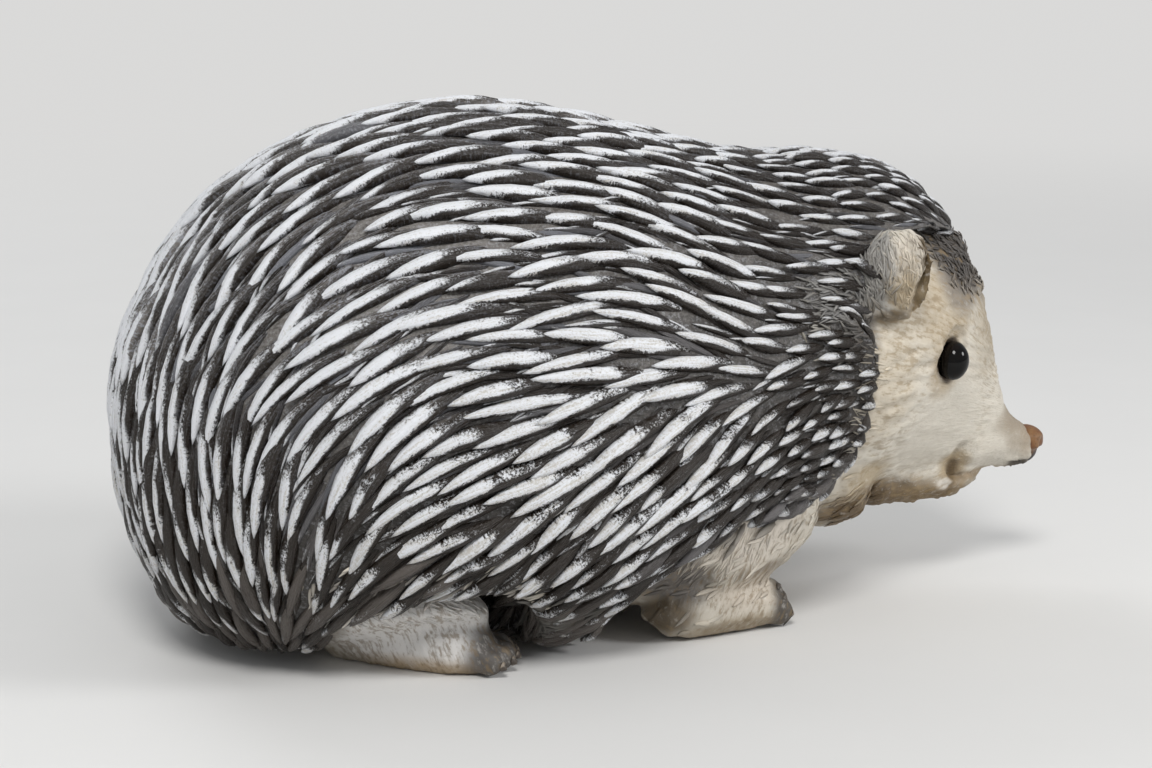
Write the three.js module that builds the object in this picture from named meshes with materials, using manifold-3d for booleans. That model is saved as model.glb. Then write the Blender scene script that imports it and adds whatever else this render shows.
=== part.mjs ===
// A life-size hedgehog ornament, cast in resin: a round quilled back that comes down to the floor, a pale
// pointed face held low, cupped ears, bead eyes and four small feet.
//
// Millimetres. +X is the way the nose points, +Y is the animal's left and +Z is up. The floor is Z = 0, and
// the origin lies on it below the middle of the model. Shapes are worked out with X = 0 a little in front of
// the hips, and every piece is moved back by MIDDLE_X at the end. The casting is parted by thin cuts into
// the pieces that a person would name.

import * as THREE from "three";
import { mergeVertices } from "three/addons/utils/BufferGeometryUtils.js";
import Module from "manifold-3d";

const wasm = await Module();
wasm.setup();

// ---------------------------------------------------------------- driving sizes

const RUMP_X = -115.5;
const NOSE_X = 128.5;
const MIDDLE_X = (RUMP_X + NOSE_X) / 2;

const CUT = 0.3; // width of every parting cut
const SKIRT_GAP = 0.8; // from the floor to the lower edge of the quilled skirt
const FLESH_DEPTH = 4; // from the quilled surface in to the fur that shows beside it
const FINENESS = 0.23; // the most that a faceted surface is thinned by
const FULLNESS = 2.15; // of a section: 2 makes it an ellipse, more makes it squarer
const FAR = 400; // past the model on every side
const SIDES = { left: 1, right: -1 };

const FUR = new THREE.MeshStandardMaterial({ color: 0xd9c8ae, roughness: 0.75, metalness: 0 });
const QUILLS = new THREE.MeshStandardMaterial({ color: 0x8b857f, roughness: 0.6, metalness: 0 });
const EYE_BLACK = new THREE.MeshStandardMaterial({ color: 0x0b0a09, roughness: 0.12, metalness: 0 });
const NOSE_BROWN = new THREE.MeshStandardMaterial({ color: 0x8a4f2a, roughness: 0.4, metalness: 0 });

// ---------------------------------------------------------------- the quilled mantle

// Rows from the rump to the brow: place along X, middle height, half width, rise and fall.
const MANTLE_ROWS = [
  [RUMP_X, 53, 0, 0, 0],
  [-113, 53, 22, 17, 21],
  [-107.5, 53, 37, 30, 39],
  [-97, 53, 51, 47, 51],
  [-82, 53, 62, 61, 57],
  [-60, 53, 68.5, 71, 60],
  [-34, 53, 70, 76, 62],
  [-6, 53, 68, 73.5, 62],
  [20, 55, 60.5, 65, 60],
  [42, 60, 51, 55, 55],
  [60, 66, 45, 48.5, 48],
  [76, 74, 38, 37, 40],
  [89, 82, 27, 21.5, 30],
  [97, 87, 15, 8, 14],
  [100, 88, 0, 0, 0],
];

// The lower edge of the quills in the XZ plane: from the brow over the ear, behind the cheek and back
// under the throat and chest to the floor.
const HOOD_EDGE = [
  [100, 91], [90, 94], [78, 95], [66, 90], [62, 79], [65, 70], [64, 60], [62, 50], [59, 40], [51, 32],
  [40, 29.5], [28, 30], [17, 26], [5, 20], [-3, 13], [-6, 4], [-6, -6],
];

// Where the mantle is parted behind the shoulders and behind the ears. A cut leans forward at its top.
const NECK_CUT = { x: 26, height: 60, lean: -15 };
const CROWN_CUT = { x: 57, height: 76, lean: -26 };

// ---------------------------------------------------------------- the head

// Rows from inside the mantle to the snout: place along X, middle height, half width, rise, fall and how
// far the section leans forward for each millimetre that it rises.
const FACE_ROWS = [
  [46, 62, 0, 0, 0, 0.4],
  [49, 62, 27, 22, 24, 0.4],
  [58, 62, 39, 34, 34, 0.45],
  [70, 61, 38, 34, 34, 0.5],
  [83, 59, 31, 31, 31, 0.5],
  [93.5, 56, 23, 25, 27, 0.48],
  [101, 51, 17, 18.5, 22.5, 0.45],
  [107.5, 45.5, 12.5, 12, 17.5, 0.38],
  [113, 40, 9, 7, 11.5, 0.3],
  [118, 36, 6.8, 5.4, 8, 0.25],
  [122.5, 34.3, 5.8, 5.2, 6, 0.15],
  [126.5, 33.6, 4, 3.8, 4, 0.05],
  [NOSE_X, 33.5, 0, 0, 0, 0],
];
const SNOUT_CUT = { x: 104, height: 41, lean: 27 };
const NOSE_CUT = { x: 123, height: 34, lean: -8 };

// Each ovoid has half sizes, its middle, and its turns in degrees about X, Y and Z, for the left side.
const JAW = { size: [25, 12, 8], place: [86.5, 0, 29], turn: [0, 5, 0] };
const THROAT = { size: [23, 30, 18], place: [56, 0, 37.5] };
const EAR_CUP = { size: [10, 7.5, 12], place: [69.5, 37, 87], turn: [0, 22, 10], detail: [9, 13] };
const EAR_HOLLOW = { size: [9, 5, 9.5], place: [77, 37, 87.5], turn: [0, 22, 10] };
const EYE = { size: [5.2, 5.2, 5.2], place: [88, 25.2, 63.2], detail: [8, 14] };

// ---------------------------------------------------------------- underside, legs and feet

const BREAST = { size: [54, 46, 26], place: [8, 0, 27], detail: [9, 16] };
const UNDERSIDE = { size: [70, 33, 15], place: [-31, 0, 0], detail: [8, 14] };
const BELLY = { size: [66, 36, 16], place: [-31, 0, 13], detail: [8, 14] };
const FOOT_HOLLOW = { size: [32, 21, 26], place: [-47, 44, 0], turn: [0, 0, 37] };
const HAUNCH = { size: [25, 14, 14], place: [-55, 36, 11.5], turn: [0, 0, 37] };

// Rows of a left limb's place, half width and half height.
const FORELEG_ROWS = [
  [51, 18, 34, 12, 12],
  [41, 24, 27, 13.5, 13],
  [28, 29, 19.5, 12.5, 12],
  [15, 33, 13, 10, 10],
];
const FOREPAW_ROWS = [
  [6, 34, 6.5, 7, 6.5],
  [17, 34, 7.5, 8.5, 8],
  [30, 31, 7, 8.5, 7.5],
  [39, 28.5, 5.5, 8.5, 6],
  [44, 27, 4, 7, 4.5],
];
const HINDFOOT_ROWS = [
  [-73, 19, 5.5, 7, 7],
  [-61, 27.5, 7, 8.5, 9],
  [-49, 37.5, 7.5, 9, 9.5],
  [-39, 43.5, 5.5, 9.5, 7.5],
  [-31, 45.5, 4, 8, 5.5],
];

// A foot's fan of toes: its middle, the way it points in degrees, its width and the toes' half sizes.
const FORE_TOES = { place: [41.5, 27, 4], turn: -12, width: 12, size: [6.2, 2.5, 3.8] };
const HIND_TOES = { place: [-33, 45.5, 3.8], turn: 26, width: 12.5, size: [6.4, 2.6, 3.8] };
const TOE_COUNT = 4;
const TOE_SPLAY = 24; // degrees between the outermost toes
const TOE_DROOP = 12; // degrees that a toe points down
const TOE_ARC = 6; // how much the fan's rounded front sets back its outer toes

// ---------------------------------------------------------------- shaping tools

// The row of a table at a share of its length from 0 to 1, smoothly between the rows.
function rowReader(rows) {
  const places = rows.map((_, i) => i / (rows.length - 1));
  const reader = new THREE.CubicInterpolant(places, rows.flat(), rows[0].length);
  return (share) => Array.from(reader.evaluate(share));
}

// The manifold solid of a three.js geometry, moved by a matrix.
function solid(geometry, matrix = new THREE.Matrix4()) {
  const bare = geometry.clone().applyMatrix4(matrix);
  bare.deleteAttribute("normal");
  bare.deleteAttribute("uv");
  const merged = mergeVertices(bare, 1e-3);
  return new wasm.Manifold(
    new wasm.Mesh({
      numProp: 3,
      vertProperties: new Float32Array(merged.attributes.position.array),
      triVerts: new Uint32Array(merged.index.array),
    }),
  );
}

// A closed body of rings from its back pole to its front pole. place(share, turn) gives each point, where
// share runs from 0 at the back to 1 at the front, and turn is 0 at the top and a quarter turn at the left.
function ringBody(rings, around, place) {
  const geometry = new THREE.SphereGeometry(1, around, rings);
  const points = geometry.attributes.position;
  for (let i = 0; i < points.count; i++) {
    const share = 1 - Math.acos(THREE.MathUtils.clamp(points.getY(i), -1, 1)) / Math.PI;
    const turn = Math.atan2(points.getZ(i), points.getX(i));
    const p = place(share, turn);
    points.setXYZ(i, p.x, p.y, p.z);
  }
  return solid(geometry);
}

// A body along X through rows of place, middle height, half width, rise, fall and lean, grown all round.
// Its sections are superellipses, and each leans forward as it rises.
function loft(rows, rings, around, grow = 0) {
  const at = rowReader(rows);
  const power = 2 / FULLNESS;
  const middleX = (rows[0][0] + rows[rows.length - 1][0]) / 2;
  return ringBody(rings, around, (share, turn) => {
    const [x, middle, halfWidth, rise, fall, lean = 0] = at(share);
    const along = x + Math.sign(x - middleX) * grow * Math.abs(2 * share - 1);
    if (share === 0 || share === 1) {
      return { x: along, y: 0, z: middle };
    }
    const side = Math.sin(turn);
    const up = Math.cos(turn);
    const y = (halfWidth + grow) * Math.sign(side) * Math.abs(side) ** power;
    const z = ((up > 0 ? rise : fall) + grow) * Math.sign(up) * Math.abs(up) ** power;
    return { x: along + z * lean, y, z: middle + z };
  });
}

// A round limb through rows of place, half width and half height, grown all round, with round ends.
function limb(rows, side, grow = 0) {
  const at = rowReader(rows);
  const step = 0.02;
  return ringBody(7, 10, (share, turn) => {
    const ahead = new THREE.Vector3(...at(Math.min(share + step, 1)));
    const behind = new THREE.Vector3(...at(Math.max(share - step, 0)));
    const [x, y, z, halfWidth, halfHeight] = at(share);
    const way = ahead.sub(behind).normalize();
    const left = new THREE.Vector3(0, 0, 1).cross(way).normalize();
    const up = way.clone().cross(left);
    const round = Math.sqrt(Math.max(0, 1 - Math.abs(2 * share - 1) ** 5));
    const point = new THREE.Vector3(x, y, z)
      .addScaledVector(left, Math.sin(side * turn) * (halfWidth + grow) * round)
      .addScaledVector(up, Math.cos(turn) * (halfHeight + grow) * round);
    point.y *= side;
    return point;
  });
}

// An ovoid on one side of the animal, grown all round.
function ovoid({ size, place, turn = [0, 0, 0], detail = [7, 11] }, side = 1, grow = 0) {
  const [rings, around] = detail;
  const angles = [side * turn[0], turn[1], side * turn[2]].map(THREE.MathUtils.degToRad);
  const matrix = new THREE.Matrix4().compose(
    new THREE.Vector3(place[0], side * place[1], place[2]),
    new THREE.Quaternion().setFromEuler(new THREE.Euler(...angles, "ZYX")),
    new THREE.Vector3(...size.map((half) => half + grow)),
  );
  return solid(new THREE.SphereGeometry(1, around, rings), matrix);
}

// Everything above a level.
function above(height) {
  const block = new THREE.BoxGeometry(2 * FAR, 2 * FAR, FAR);
  return solid(block, new THREE.Matrix4().makeTranslation(0, 0, height + FAR / 2));
}

// Everything in front of a cut, moved forward by a shift. The cut leans forward at its top.
function inFrontOf({ x, height, lean }, shift = 0) {
  const block = new THREE.BoxGeometry(FAR, 2 * FAR, 2 * FAR);
  block.translate(FAR / 2, 0, 0);
  const tip = new THREE.Matrix4().makeRotationY(THREE.MathUtils.degToRad(lean));
  return solid(block, new THREE.Matrix4().makeTranslation(x + shift, 0, height).multiply(tip));
}

// All the shapes of a list, joined.
function joined(shapes) {
  return shapes.reduce((all, shape) => all.add(shape));
}

// ---------------------------------------------------------------- the body's shapes

// All that lies in front of and below the edge of the quills, shrunk by an inset.
function makeOpening(inset) {
  const edge = new THREE.CatmullRomCurve3(HOOD_EDGE.map(([x, z]) => new THREE.Vector3(x, z, 0)));
  const shape = new THREE.Shape();
  const steps = 2 * HOOD_EDGE.length;
  for (let i = 0; i <= steps; i++) {
    const place = edge.getPoint(i / steps);
    const way = edge.getTangent(i / steps);
    place.add(new THREE.Vector3(-way.y, way.x, 0).multiplyScalar(inset));
    if (i === 0) {
      shape.moveTo(FAR, place.y);
    }
    shape.lineTo(place.x, place.y);
  }
  shape.lineTo(FAR, shape.currentPoint.y);
  const geometry = new THREE.ExtrudeGeometry(shape, { depth: 2 * FAR, bevelEnabled: false });
  geometry.translate(0, 0, -FAR);
  return solid(geometry, new THREE.Matrix4().makeRotationX(Math.PI / 2));
}

function makeQuilledForm(grow = 0) {
  return loft(MANTLE_ROWS, 24, 28, grow);
}

function makeMantle(grow = 0) {
  return makeQuilledForm(grow).subtract(makeOpening(grow));
}

function makeFace(grow = 0) {
  return loft(FACE_ROWS, 18, 21, grow);
}

// An ear: a cup that opens forwards, with its flap on the outer side.
function makeEar(side, grow = 0) {
  return ovoid(EAR_CUP, side, grow).subtract(ovoid(EAR_HOLLOW, side, -grow));
}

// The fur of breast and flanks, which ends inside the edge of the quills.
function makeChest(grow = 0) {
  return ovoid(BREAST, 1, grow).intersect(makeQuilledForm(grow - FLESH_DEPTH));
}

// The toes of a foot with their blunt claws, side by side.
function makeToes({ place, turn, width, size }, side, grow) {
  const angle = THREE.MathUtils.degToRad(turn);
  const ahead = new THREE.Vector3(Math.cos(angle), Math.sin(angle), 0);
  const across = new THREE.Vector3(-ahead.y, ahead.x, 0);
  const toes = [];
  for (let i = 0; i < TOE_COUNT; i++) {
    const share = i / (TOE_COUNT - 1) - 0.5;
    const middle = new THREE.Vector3(...place)
      .addScaledVector(across, share * width)
      .addScaledVector(ahead, -TOE_ARC * share ** 2);
    const angles = [0, TOE_DROOP, turn + TOE_SPLAY * share];
    const toe = { size, place: middle.toArray(), turn: angles, detail: [5, 6] };
    toes.push(ovoid(toe, side, grow));
  }
  return joined(toes);
}

function makeForeleg(side, grow = 0) {
  return limb(FORELEG_ROWS, side, grow);
}

function makeForepaw(side, grow = 0) {
  return limb(FOREPAW_ROWS, side, grow).add(makeToes(FORE_TOES, side, grow));
}

function makeHindfoot(side, grow = 0) {
  return limb(HINDFOOT_ROWS, side, grow).add(makeToes(HIND_TOES, side, grow));
}

// ---------------------------------------------------------------- the pieces

const model = new THREE.Group();
model.name = "hedgehog_ornament";
const aboveFloor = above(0);

// Adds one named piece, cut off level with the floor. Slivers that the cuts leave are dropped, and points
// that hardly bend the surface are taken out.
function addPiece(name, shape, material) {
  const bodies = shape.intersect(aboveFloor).simplify(FINENESS).decompose();
  const [largest] = bodies.sort((a, b) => b.volume() - a.volume());
  const mesh = largest.getMesh();
  const geometry = new THREE.BufferGeometry();
  geometry.setAttribute("position", new THREE.BufferAttribute(mesh.vertProperties, 3));
  geometry.setIndex(new THREE.BufferAttribute(mesh.triVerts, 1));
  const piece = new THREE.Mesh(geometry, material);
  piece.name = name;
  piece.position.x = -MIDDLE_X;
  model.add(piece);
}

// The room that a shape and the cut round it take up on both sides of the animal.
function roomFor(make) {
  return joined(Object.values(SIDES).map((side) => make(side, CUT)));
}

const feetRoom = joined([roomFor(makeHindfoot), roomFor(makeForepaw)]);
const earRoom = roomFor(makeEar);
const eyeRoom = roomFor((side, grow) => ovoid(EYE, side, grow));
const legRoom = roomFor(makeForeleg);
const haunchRoom = roomFor((side, grow) => ovoid(HAUNCH, side, grow));
const hollowRoom = roomFor((side) => ovoid(FOOT_HOLLOW, side));
const undersideRoom = ovoid(UNDERSIDE, 1, CUT);
const jawRoom = ovoid(JAW, 1, CUT);
const throatRoom = ovoid(THROAT, 1, CUT);
const mantleRoom = makeMantle(CUT);
const headRoom = joined([mantleRoom, makeFace(CUT)]);

for (const [hand, side] of Object.entries(SIDES)) {
  addPiece(`eye_${hand}`, ovoid(EYE, side), EYE_BLACK);
  addPiece(`ear_${hand}`, makeEar(side), FUR);
  addPiece(`foreleg_${hand}`, makeForeleg(side).subtract(joined([headRoom, feetRoom])), FUR);
  addPiece(`forepaw_${hand}`, makeForepaw(side), FUR);
  addPiece(`hindfoot_${hand}`, makeHindfoot(side), FUR);
  const haunch = ovoid(HAUNCH, side).subtract(joined([feetRoom, undersideRoom]));
  addPiece(`haunch_${hand}`, haunch.intersect(makeMantle(-FLESH_DEPTH)), FUR);
}

const mantleHollows = joined([hollowRoom, haunchRoom, earRoom, feetRoom, undersideRoom]);
const mantle = makeMantle().subtract(mantleHollows).intersect(above(SKIRT_GAP));
const mantleFront = mantle.intersect(inFrontOf(NECK_CUT, CUT));
addPiece("trunk", mantle.subtract(inFrontOf(NECK_CUT)), QUILLS);
addPiece("neck", mantleFront.subtract(inFrontOf(CROWN_CUT)), QUILLS);
addPiece("crown", mantleFront.intersect(inFrontOf(CROWN_CUT, CUT)), QUILLS);

const face = makeFace().subtract(joined([mantleRoom, earRoom, eyeRoom]));
const snout = face.intersect(inFrontOf(SNOUT_CUT, CUT));
addPiece("head", face.subtract(inFrontOf(SNOUT_CUT)), FUR);
addPiece("muzzle", snout.subtract(inFrontOf(NOSE_CUT)), FUR);
addPiece("nose", snout.intersect(inFrontOf(NOSE_CUT, CUT)), NOSE_BROWN);

addPiece("lower_jaw", ovoid(JAW).subtract(headRoom), FUR);
addPiece("throat", ovoid(THROAT).subtract(joined([headRoom, jawRoom, legRoom])), FUR);
const chestNeighbours = joined([headRoom, jawRoom, throatRoom, legRoom, feetRoom, undersideRoom]);
addPiece("chest", makeChest().subtract(chestNeighbours), FUR);
addPiece("belly", ovoid(BELLY).intersect(ovoid(UNDERSIDE)).subtract(feetRoom), FUR);

export default model;
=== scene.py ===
"""A life-size hedgehog ornament, cast in resin and painted by hand.

The casting's flesh is one skin, painted cream with an ochre wash in its hair. Over its back lie the
cast quills, shingled along one grooming chart, umber and dry-brushed white. Short cast hair lies on
the cheek, brow, ears, breast, legs and feet. The bead eyes, the nose and the claws are pieces of
their own.
"""

import logging
import math
from collections.abc import Callable, Iterable, Sequence
from dataclasses import dataclass, field
from enum import Enum
from itertools import product

import bmesh
import bpy
import numpy as np
from mathutils import Matrix, Vector
from mathutils.bvhtree import BVHTree

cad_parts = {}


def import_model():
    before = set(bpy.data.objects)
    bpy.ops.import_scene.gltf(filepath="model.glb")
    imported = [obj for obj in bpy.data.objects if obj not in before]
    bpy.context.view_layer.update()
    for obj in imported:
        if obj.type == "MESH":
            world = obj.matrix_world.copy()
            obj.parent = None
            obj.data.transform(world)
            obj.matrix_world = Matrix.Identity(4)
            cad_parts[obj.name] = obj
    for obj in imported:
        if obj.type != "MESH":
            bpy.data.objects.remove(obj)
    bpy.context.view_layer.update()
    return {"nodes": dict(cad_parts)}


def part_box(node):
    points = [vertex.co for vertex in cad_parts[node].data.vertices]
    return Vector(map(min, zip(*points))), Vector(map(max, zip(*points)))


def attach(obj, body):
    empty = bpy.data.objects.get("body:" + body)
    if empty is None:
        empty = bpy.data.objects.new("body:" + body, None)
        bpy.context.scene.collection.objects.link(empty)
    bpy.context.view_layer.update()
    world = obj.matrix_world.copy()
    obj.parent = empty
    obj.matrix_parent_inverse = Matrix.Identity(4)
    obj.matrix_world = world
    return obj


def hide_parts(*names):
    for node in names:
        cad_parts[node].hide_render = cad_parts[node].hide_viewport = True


LOG = logging.getLogger("hedgehog")
MM = 0.001
Colour = tuple[float, float, float]
Point = tuple[float, float, float]
Span = tuple[float, float]
Array = np.ndarray
Piece = bpy.types.Object
Paint = bpy.types.Material
NOSE_TIP = (0.119, 0.0, 0.04)
NOSE_TIP_MM = (119, 0, 40)


# ---------------- shader kit


class Signal:
    """A number or a colour that comes out of a shader socket. Arithmetic on it adds Math nodes."""

    def __init__(self, graph: "Graph", socket: bpy.types.NodeSocket) -> None:
        """Wraps one output socket of a graph."""
        self.graph = graph
        self.socket = socket

    def _math(self, operation: str, first: "Value", second: "Value") -> "Signal":
        """Adds one Math node for an operation on two values."""
        return self.graph.signal("Math", {"operation": operation}, {0: first, 1: second})

    def __add__(self, other: "Value") -> "Signal":
        """Returns self + other."""
        return self._math("ADD", self, other)

    __radd__ = __add__

    def __sub__(self, other: "Value") -> "Signal":
        """Returns self - other."""
        return self._math("SUBTRACT", self, other)

    def __rsub__(self, other: "Value") -> "Signal":
        """Returns other - self."""
        return self._math("SUBTRACT", other, self)

    def __mul__(self, other: "Value") -> "Signal":
        """Returns self * other."""
        return self._math("MULTIPLY", self, other)

    __rmul__ = __mul__

    def step(self, low: float, high: float) -> "Signal":
        """Turns the signal into a smooth step.

        Args:
            low: Where it leaves 0.
            high: Where it comes to 1. It may lie under low.

        Returns:
            A signal that rises smoothly between them.
        """
        settings = {"interpolation_type": "SMOOTHSTEP"}
        if low > high:
            return 1 - self.step(high, low)
        return self.graph.signal("MapRange", settings, {0: self, 1: low, 2: high})


Value = Signal | float
Tint = Signal | Colour


class Graph:
    """The node graph of one material, or of the sky."""

    def __init__(self, name: str, sky: bool = False) -> None:
        """Starts an empty material, or an empty sky.

        Args:
            name: Its name.
            sky: True for a sky.
        """
        self.owner = (bpy.data.worlds if sky else bpy.data.materials).new(name)
        self.owner.use_nodes = True
        self.tree = self.owner.node_tree
        self.tree.nodes.clear()

    def node(
        self, kind: str, settings: dict | None = None, inputs: dict | None = None
    ) -> bpy.types.Node:
        """Adds a node.

        Args:
            kind: The node's type, without the ShaderNode before it.
            settings: Its own settings, set first.
            inputs: The value of, or the signal into, each socket by name or number.

        Returns:
            The new node.
        """
        made = self.tree.nodes.new(f"ShaderNode{kind}")
        for key, value in (settings or {}).items():
            setattr(made, key, value)
        for key, value in (inputs or {}).items():
            socket = made.inputs[key]
            if isinstance(value, Signal):
                self.tree.links.new(value.socket, socket)
            elif socket.type == "RGBA":
                socket.default_value = (*value, 1.0)
            else:
                socket.default_value = value
        return made

    def signal(
        self,
        kind: str,
        settings: dict | None = None,
        inputs: dict | None = None,
        output: int | str = 0,
    ) -> Signal:
        """Adds a node and returns one of its outputs."""
        return Signal(self, self.node(kind, settings, inputs).outputs[output])

    def mix(self, share: Value, low: Tint, high: Tint, how: str = "MIX") -> Signal:
        """Returns one colour with a share of another laid over it."""
        settings = {"data_type": "RGBA", "blend_type": how}
        return self.signal("Mix", settings, {0: share, 6: low, 7: high}, 2)

    def place(self) -> Signal:
        """Returns the place on the object, in metres."""
        return self.signal("TexCoord", output="Object")

    def attribute(self, name: str, output: str = "Fac") -> Signal:
        """Returns an attribute of the mesh."""
        return self.signal("Attribute", {"attribute_name": name}, output=output)

    def parts(self, vector: Signal) -> tuple[Signal, Signal, Signal]:
        """Returns the three numbers of a vector."""
        split = self.node("SeparateXYZ", None, {0: vector})
        return tuple(Signal(self, output) for output in split.outputs)

    def uv(self, name: str) -> tuple[Signal, Signal]:
        """Returns the two coordinates of one of the piece's own maps."""
        return self.parts(self.signal("UVMap", {"uv_map": name}))[:2]

    def maths(self, operation: str, inputs: dict, output: int | str = 0) -> Signal:
        """Returns one output of a Vector Math node."""
        return self.signal("VectorMath", {"operation": operation}, inputs, output)

    def vector(self, x: Value, y: Value, z: Value) -> Signal:
        """Returns three numbers as one vector."""
        return self.signal("CombineXYZ", None, {0: x, 1: y, 2: z})

    def stretched(self, vector: Signal, scale: Point) -> Signal:
        """Returns a vector scaled along each axis."""
        return self.signal("Mapping", None, {"Vector": vector, "Scale": scale})

    def noise(self, vector: Signal, scale: float, detail: float, roughness: float) -> Signal:
        """Returns smooth noise about 0.5."""
        inputs = {"Vector": vector, "Scale": scale, "Detail": detail, "Roughness": roughness}
        return self.signal("TexNoise", None, inputs, "Fac")

    def bump(self, height: Signal, depth: float, strength: float) -> Signal:
        """Returns the normal of a surface that a height raises by up to a depth in metres."""
        inputs = {"Height": height, "Distance": depth, "Strength": strength}
        return self.signal("Bump", None, inputs)

    def finish(self, inputs: dict) -> Paint:
        """Adds the surface shader and the output, and returns the material."""
        shader = self.signal("BsdfPrincipled", None, inputs)
        self.node("OutputMaterial", None, {"Surface": shader})
        return self.owner


# ---------------- bench: modelling by operators


def pick(piece: Piece) -> None:
    """Makes a piece the only selected and the active one."""
    bpy.ops.object.select_all(action="DESELECT")
    piece.select_set(True)
    bpy.context.view_layer.objects.active = piece


def rename(name: str) -> Piece:
    """Names the active object and its mesh.

    Args:
        name: The name.

    Returns:
        The object.
    """
    piece = bpy.context.active_object
    piece.name = name
    piece.data.name = name
    return piece


def linked(name: str, data: bpy.types.ID) -> Piece:
    """Sets a mesh, a lamp or a camera in the scene as a new object."""
    piece = bpy.data.objects.new(name, data)
    bpy.context.scene.collection.objects.link(piece)
    return piece


def join(pieces: Sequence[Piece], name: str) -> Piece:
    """Joins pieces into one.

    Args:
        pieces: The pieces.
        name: The name of what they make.

    Returns:
        The one piece.
    """
    pick(pieces[0])
    for piece in pieces:
        piece.select_set(True)
    bpy.ops.object.join()
    return rename(name)


def modify(piece: Piece, kind: str, **settings: object) -> None:
    """Adds a modifier of a kind to a piece and applies it.

    Args:
        piece: The piece.
        kind: The kind of modifier.
        **settings: The values of its settings.
    """
    pick(piece)
    modifier = piece.modifiers.new(kind.lower(), kind)
    for key, value in settings.items():
        setattr(modifier, key, value)
    bpy.ops.object.modifier_apply(modifier=modifier.name)


def edit(piece: Piece, test: Callable[[Vector], bool] | None = None) -> None:
    """Enters edit mode.

    Args:
        piece: The piece.
        test: Picks the points to select by their places. Without it, all are selected.
    """
    pick(piece)
    bpy.ops.object.mode_set(mode="EDIT")
    bpy.ops.mesh.select_mode(type="VERT")
    bpy.ops.mesh.select_all(action="SELECT")
    if test is not None:
        reselect(piece, test)


def reselect(piece: Piece, test: Callable[[Vector], bool]) -> None:
    """Selects, in edit mode, just the points that pass a test.

    Args:
        piece: The piece.
        test: Picks points by their places.
    """
    shape = bmesh.from_edit_mesh(piece.data)
    for vertex in shape.verts:
        vertex.select = test(vertex.co)
    shape.select_flush_mode()
    bmesh.update_edit_mesh(piece.data)


def select_by(piece: Piece, chosen: Array) -> None:
    """Enters edit mode on a piece with the points selected that an array marks."""
    marks = iter(chosen.tolist())
    edit(piece, lambda _: next(marks))


def leave_edit() -> None:
    """Goes back to object mode."""
    bpy.ops.object.mode_set(mode="OBJECT")


def soften() -> None:
    """Smooths all points in edit mode, and goes back to object mode."""
    bpy.ops.mesh.select_all(action="SELECT")
    bpy.ops.mesh.vertices_smooth(factor=0.5, repeat=2)
    leave_edit()


def settle(piece: Piece) -> None:
    """Applies a piece's place, and turns its faces outwards and smooth.

    Args:
        piece: The piece.
    """
    pick(piece)
    bpy.ops.object.transform_apply(location=True, rotation=True, scale=True)
    edit(piece)
    bpy.ops.mesh.normals_make_consistent(inside=False)
    leave_edit()
    bpy.ops.object.shade_smooth()


def points_of(piece: Piece) -> Array:
    """Returns a mesh's points."""
    flat = np.empty(len(piece.data.vertices) * 3, np.float32)
    piece.data.vertices.foreach_get("co", flat)
    return flat.reshape(-1, 3).astype(float)


def corners_of(piece: Piece) -> Array:
    """Reads a mesh's triangles.

    Args:
        piece: The mesh.

    Returns:
        The numbers of the three points of each triangle.
    """
    mesh = piece.data
    mesh.calc_loop_triangles()
    flat = np.empty(len(mesh.loop_triangles) * 3, np.int32)
    mesh.loop_triangles.foreach_get("vertices", flat)
    return flat.reshape(-1, 3)


def normals_of(piece: Piece) -> Array:
    """Returns a mesh's normals at its points."""
    flat = np.empty(len(piece.data.vertices) * 3, np.float32)
    piece.data.vertex_normals.foreach_get("vector", flat)
    return flat.reshape(-1, 3).astype(float)


def move_points(piece: Piece, points: Array) -> None:
    """Moves a mesh's points to new places."""
    piece.data.vertices.foreach_set("co", points.astype(np.float32).ravel())
    piece.data.update()


def stamp(piece: Piece, name: str, values: Array) -> None:
    """Stores a number, or a colour, for each point of a mesh.

    Args:
        piece: The mesh.
        name: The name to store it under.
        values: A number for each point, or a row of three.
    """
    kind = "FLOAT" if values.ndim == 1 else "FLOAT_COLOR"
    layer = piece.data.attributes.new(name, kind, "POINT")
    if kind == "FLOAT":
        layer.data.foreach_set("value", values.astype(np.float32))
        return
    opaque = np.column_stack([values, np.ones(len(values))])
    layer.data.foreach_set("color", opaque.astype(np.float32).ravel())


def read(piece: Piece, name: str) -> Array:
    """Returns a number stored on each point of a mesh."""
    values = np.empty(len(piece.data.vertices), np.float32)
    piece.data.attributes[name].data.foreach_get("value", values)
    return values.astype(float)


def dress(piece: Piece, material: Paint) -> Piece:
    """Gives a piece one material, and returns the piece."""
    piece.data.materials.clear()
    piece.data.materials.append(material)
    return piece


def mirrored(place: Point, side: int) -> Point:
    """Returns a place of the left side, or its mirror image on the right."""
    return (place[0], place[1] * side, place[2])


def folded(points: Array) -> Array:
    """Returns places in millimetres, those of the right side mirrored to the left."""
    return np.column_stack([points[:, 0], np.abs(points[:, 1]), points[:, 2]]) / MM


# ---------------- fields over the body


def ramp(values: Array, low: float, high: float) -> Array:
    """Rises smoothly from 0 at low to 1 at high."""
    share = np.clip((values - low) / (high - low), 0, 1)
    return share * share * (3 - 2 * share)


def unit(vectors: Array) -> Array:
    """Returns vectors of length 1."""
    return vectors / np.maximum(np.linalg.norm(vectors, axis=-1, keepdims=True), 1e-12)


def along_surface(vectors: Array, normals: Array) -> Array:
    """Lays vectors in the surface with those normals."""
    return unit(vectors - normals * (vectors * normals).sum(-1, keepdims=True))


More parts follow.
